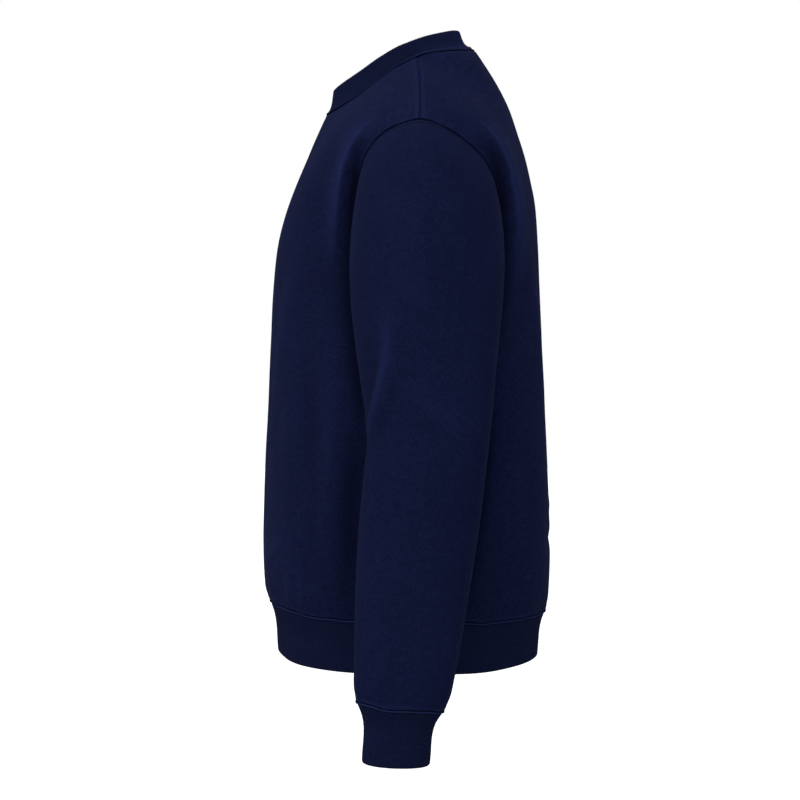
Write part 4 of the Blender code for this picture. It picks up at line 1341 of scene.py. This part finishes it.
def studio_glow():
    """World of soft glows, each its direction's cosine to a power; the camera sees white."""
    nodes = Nodes(bpy.data.worlds.new("studio"))
    look = nodes.add("ShaderNodeTexCoord").outputs["Generated"]
    total = 0.0
    for towards, power, strength in GLOWS:
        dot = nodes.add("ShaderNodeVectorMath")
        dot.operation = "DOT_PRODUCT"
        nodes.fill(dot.inputs[0], look)
        nodes.fill(dot.inputs[1], tuple(unit(np.array(towards))))
        facing = nodes.maths("MAXIMUM", dot.outputs["Value"], 0.0)
        faded = nodes.maths("POWER", facing, power)
        total = nodes.maths("MULTIPLY_ADD", faded, strength, total)
    seen = nodes.add("ShaderNodeLightPath").outputs["Is Camera Ray"]
    brightness = nodes.add("ShaderNodeMix", Factor=seen)
    nodes.fill(brightness.inputs[2], total)
    nodes.fill(brightness.inputs[3], 1.0)
    background = nodes.add("ShaderNodeBackground", Color=WHITE, Strength=brightness.outputs[0])
    return nodes.output("ShaderNodeOutputWorld", background)


def cloth_piece(piece, node):
    """Make a piece of cloth ride on the root and hide the imported part of its node."""
    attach(piece, "root")
    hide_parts(node)


def stitch_piece(piece):
    """Stitches ride with the cloth."""
    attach(piece, "root")


def length_of(name, description, default, least, most, precision=4):
    """A length in metres that the sidebar shows."""
    return bpy.props.FloatProperty(
        name=name, description=description, default=default, min=least, max=most, unit="LENGTH",
        precision=precision)


def colour_of(name, description, *default):
    """An opaque colour that the sidebar shows."""
    return bpy.props.FloatVectorProperty(
        name=name, description=description, default=default + (1.0,), size=4, min=0.0, max=1.0,
        subtype="COLOR")


class SweatshirtSizes(bpy.types.PropertyGroup):
    """Sizes of the cloth, ribs and stitches."""

    fleece_thickness: length_of(
        "Fleece thickness", "Thickness of the body and sleeve cloth", 0.002, 0.001, 0.003)
    rib_thickness: length_of(
        "Rib thickness", "Thickness of the doubled rib", 0.003, 0.002, 0.004)
    rib_pitch: length_of(
        "Rib pitch", "Distance from one rib to the next", 0.0021, 0.0015, 0.005)
    rib_height: length_of(
        "Rib height", "How far each rib stands above the groove beside it", 0.00045, 0.0, 0.001, 5)
    stitch_pitch: length_of(
        "Stitch pitch", "Distance from one stitch to the next", 0.0032, 0.002, 0.006)
    stitch_length: length_of(
        "Stitch length", "Length of thread that shows in each stitch", 0.0016, 0.001, 0.005)
    thread_thickness: length_of(
        "Thread thickness", "Thickness of the sewing thread", 0.0008, 0.0003, 0.001, 5)


class SweatshirtColours(bpy.types.PropertyGroup):
    """Colours of the cloth, thread and floor."""

    fleece: colour_of("Fleece", "Colour of the fleece's face", 0.0098, 0.0141, 0.057)
    fleece_light: colour_of(
        "Fleece, lighter yarn", "Lighter yarn in the heathered face", 0.0151, 0.0219, 0.0877)
    inside: colour_of("Inside", "Colour of the brushed inside", 0.011, 0.015, 0.05)
    rib: colour_of("Rib", "Colour of the ribs", 0.0098, 0.0138, 0.05)
    thread: colour_of("Thread", "Colour of the sewing thread", 0.0015, 0.002, 0.008)
    nap: colour_of("Nap", "Tint of the soft nap seen edge on", 0.075, 0.105, 0.36)
    floor: colour_of("Floor", "Colour of the pale floor", 0.5, 0.5, 0.5)


def settings(context):
    """The scene's sizes in millimetres and its colours."""
    sizes = context.scene.sweatshirt_sizes
    in_mm = {name: getattr(sizes, name) * MM for name in SweatshirtSizes.__annotations__}
    return in_mm, context.scene.sweatshirt_colours


class SWEATSHIRT_OT_panels(bpy.types.Operator):
    """Front and back panels, with the stitches beside their shoulder and hem seams."""

    bl_idname = "sweatshirt.panels"
    bl_label = "Front and back"

    def execute(self, context):
        sizes, colours = settings(context)
        face = fleece_face(colours, "fleece_panel_face", *PANEL_MOTTLE)
        cloths = [face, fleece_inside(colours)]
        thread = thread_finish(colours)
        for node, front in (("front", True), ("back", False)):
            grid = panel_grid(front)
            thickness = sizes["fleece_thickness"]
            piece, outer = wall(node + "_panel", grid, False, not front, thickness, cloths)
            normals = grid[1]
            neck = int(np.searchsorted(half_degrees(front), neck_span(front)))
            middle = outer.shape[1] // 2
            lines = []
            for part in (slice(middle + neck, None), slice(None, middle - neck + 1)):
                edges = outer[::-1, part], normals[::-1, part]
                lines.append(offset_line(*edges, SHOULDER_STITCH, SHOULDER_LONGER))
            lines.append(offset_line(outer, normals, HEM_STITCH))
            stitch_piece(stitches(node + "_stitches", lines, sizes, thread))
            cloth_piece(piece, node)
        return {"FINISHED"}


class SWEATSHIRT_OT_sleeves(bpy.types.Operator):
    """Set-in sleeves, with the stitches beside their armhole and cuff seams."""

    bl_idname = "sweatshirt.sleeves"
    bl_label = "Sleeves"

    def execute(self, context):
        sizes, colours = settings(context)
        face = fleece_face(colours, "fleece_sleeve_face", *SLEEVE_MOTTLE)
        cloths = [face, fleece_inside(colours)]
        thread = thread_finish(colours)
        for node, folds, mirror in (
                ("sleeve_left", LEFT_INNER_FOLDS, 1), ("sleeve_right", RIGHT_INNER_FOLDS, -1)):
            points, normals, relief, painted_shading = sleeve_grid(folds)
            normals = normals * (mirror, 1, 1)
            grid = (points * (mirror, 1, 1), normals, relief, painted_shading)
            thickness = sizes["fleece_thickness"]
            piece, outer = wall(node + "_cloth", grid, True, mirror < 0, thickness, cloths)
            outer, normals = joined(outer), joined(normals)
            lines = [offset_line(outer, normals, SLEEVE_STITCH + SLEEVE_TUCK),
                     offset_line(outer[::-1], normals[::-1], HEM_STITCH)]
            stitch_piece(stitches(node + "_stitches", lines, sizes, thread))
            cloth_piece(piece, node)
        return {"FINISHED"}


class SWEATSHIRT_OT_ribs(bpy.types.Operator):
    """Collar, waistband and cuffs in doubled rib, with a rolled ridge beside each seam."""

    bl_idname = "sweatshirt.ribs"
    bl_label = "Collar, waistband and cuffs"

    def execute(self, context):
        sizes, colours = settings(context)
        rib = rib_knit(colours)
        # The fifth, sixth and eighth columns are painted light and shade: on the ridge, at the
        # foot and round the back
        bands = (
            ("collar", collar_rows, 8, neck_ridge, 0.7, 1.1, 1.35, 0.15, 1, 1, (0.52, 0.03)),
            ("waistband", waistband_rows, 5, hem_ridge, 1, 0, 0.6, 0, -1, 1, (1.06, 0.054)),
            ("cuff_left", cuff_rows, 8, hem_ridge, 1, 0, 0.42, 0, 1, 1, (0.20, 0.053)),
            ("cuff_right", cuff_rows, 8, hem_ridge, 1, 0, 0.42, 0, 1, -1, (0.20, 0.053)),
        )
        for row in bands:
            kind = SimpleNamespace(**dict(zip(BAND_COLUMNS, row)))
            grid, painted_shading = band_grid(kind, sizes)
            piece = band(kind.node + "_rib", grid, painted_shading, kind.sign * kind.mirror < 0, rib)
            cloth_piece(piece, kind.node)
        return {"FINISHED"}


class SWEATSHIRT_OT_stage(bpy.types.Operator):
    """Pale floor, soft studio light and the camera."""

    bl_idname = "sweatshirt.stage"
    bl_label = "Floor, light and camera"

    def execute(self, context):
        _, colours = settings(context)
        scene = context.scene
        mesh = bpy.data.meshes.new("floor")
        sides = ((-1, -1), (1, -1), (1, 1), (-1, 1))
        corners = [(x * FLOOR_REACH, y * FLOOR_REACH, -FLOOR_BELOW_ORIGIN) for x, y in sides]
        mesh.from_pydata(corners, [], [(0, 1, 2, 3)])
        mesh.materials.append(floor_paint(colours))
        in_scene("floor", mesh)
        scene.world = studio_glow()
        lens = bpy.data.cameras.new("camera")
        lens.lens = CAMERA_LENS
        lens.sensor_width = CAMERA_SENSOR
        camera = in_scene("camera", lens)
        camera.location = CAMERA_PLACE
        camera.rotation_euler = (np.radians(90.0), 0.0, np.radians(90.0))
        scene.camera = camera
        scene.view_settings.view_transform = "Standard"
        return {"FINISHED"}


class SWEATSHIRT_PT_builder(bpy.types.Panel):
    """Sidebar panel that lists the sweatshirt's pieces, sizes and colours."""

    bl_idname = "SWEATSHIRT_PT_builder"
    bl_label = "Sweatshirt"
    bl_space_type = "VIEW_3D"
    bl_region_type = "UI"
    bl_category = "Sweatshirt"

    def draw(self, context):
        layout = self.layout
        for operator in OPERATORS:
            layout.operator(operator.bl_idname)
        for group in (context.scene.sweatshirt_sizes, context.scene.sweatshirt_colours):
            for name in type(group).__annotations__:
                layout.prop(group, name)


OPERATORS = (SWEATSHIRT_OT_panels, SWEATSHIRT_OT_sleeves, SWEATSHIRT_OT_ribs, SWEATSHIRT_OT_stage)
CLASSES = (SweatshirtSizes, SweatshirtColours) + OPERATORS + (SWEATSHIRT_PT_builder,)


def register():
    """Add the classes and the scene's settings."""
    for item in CLASSES:
        bpy.utils.register_class(item)
    bpy.types.Scene.sweatshirt_sizes = bpy.props.PointerProperty(type=SweatshirtSizes)
    bpy.types.Scene.sweatshirt_colours = bpy.props.PointerProperty(type=SweatshirtColours)


def unregister():
    """Remove the scene's settings and the classes."""
    del bpy.types.Scene.sweatshirt_colours
    del bpy.types.Scene.sweatshirt_sizes
    for item in reversed(CLASSES):
        bpy.utils.unregister_class(item)


def main():
    """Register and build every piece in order."""
    register()
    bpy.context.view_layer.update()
    bpy.ops.sweatshirt.panels()
    bpy.ops.sweatshirt.sleeves()
    bpy.ops.sweatshirt.ribs()
    bpy.ops.sweatshirt.stage()


if __name__ == "__main__":
    main()
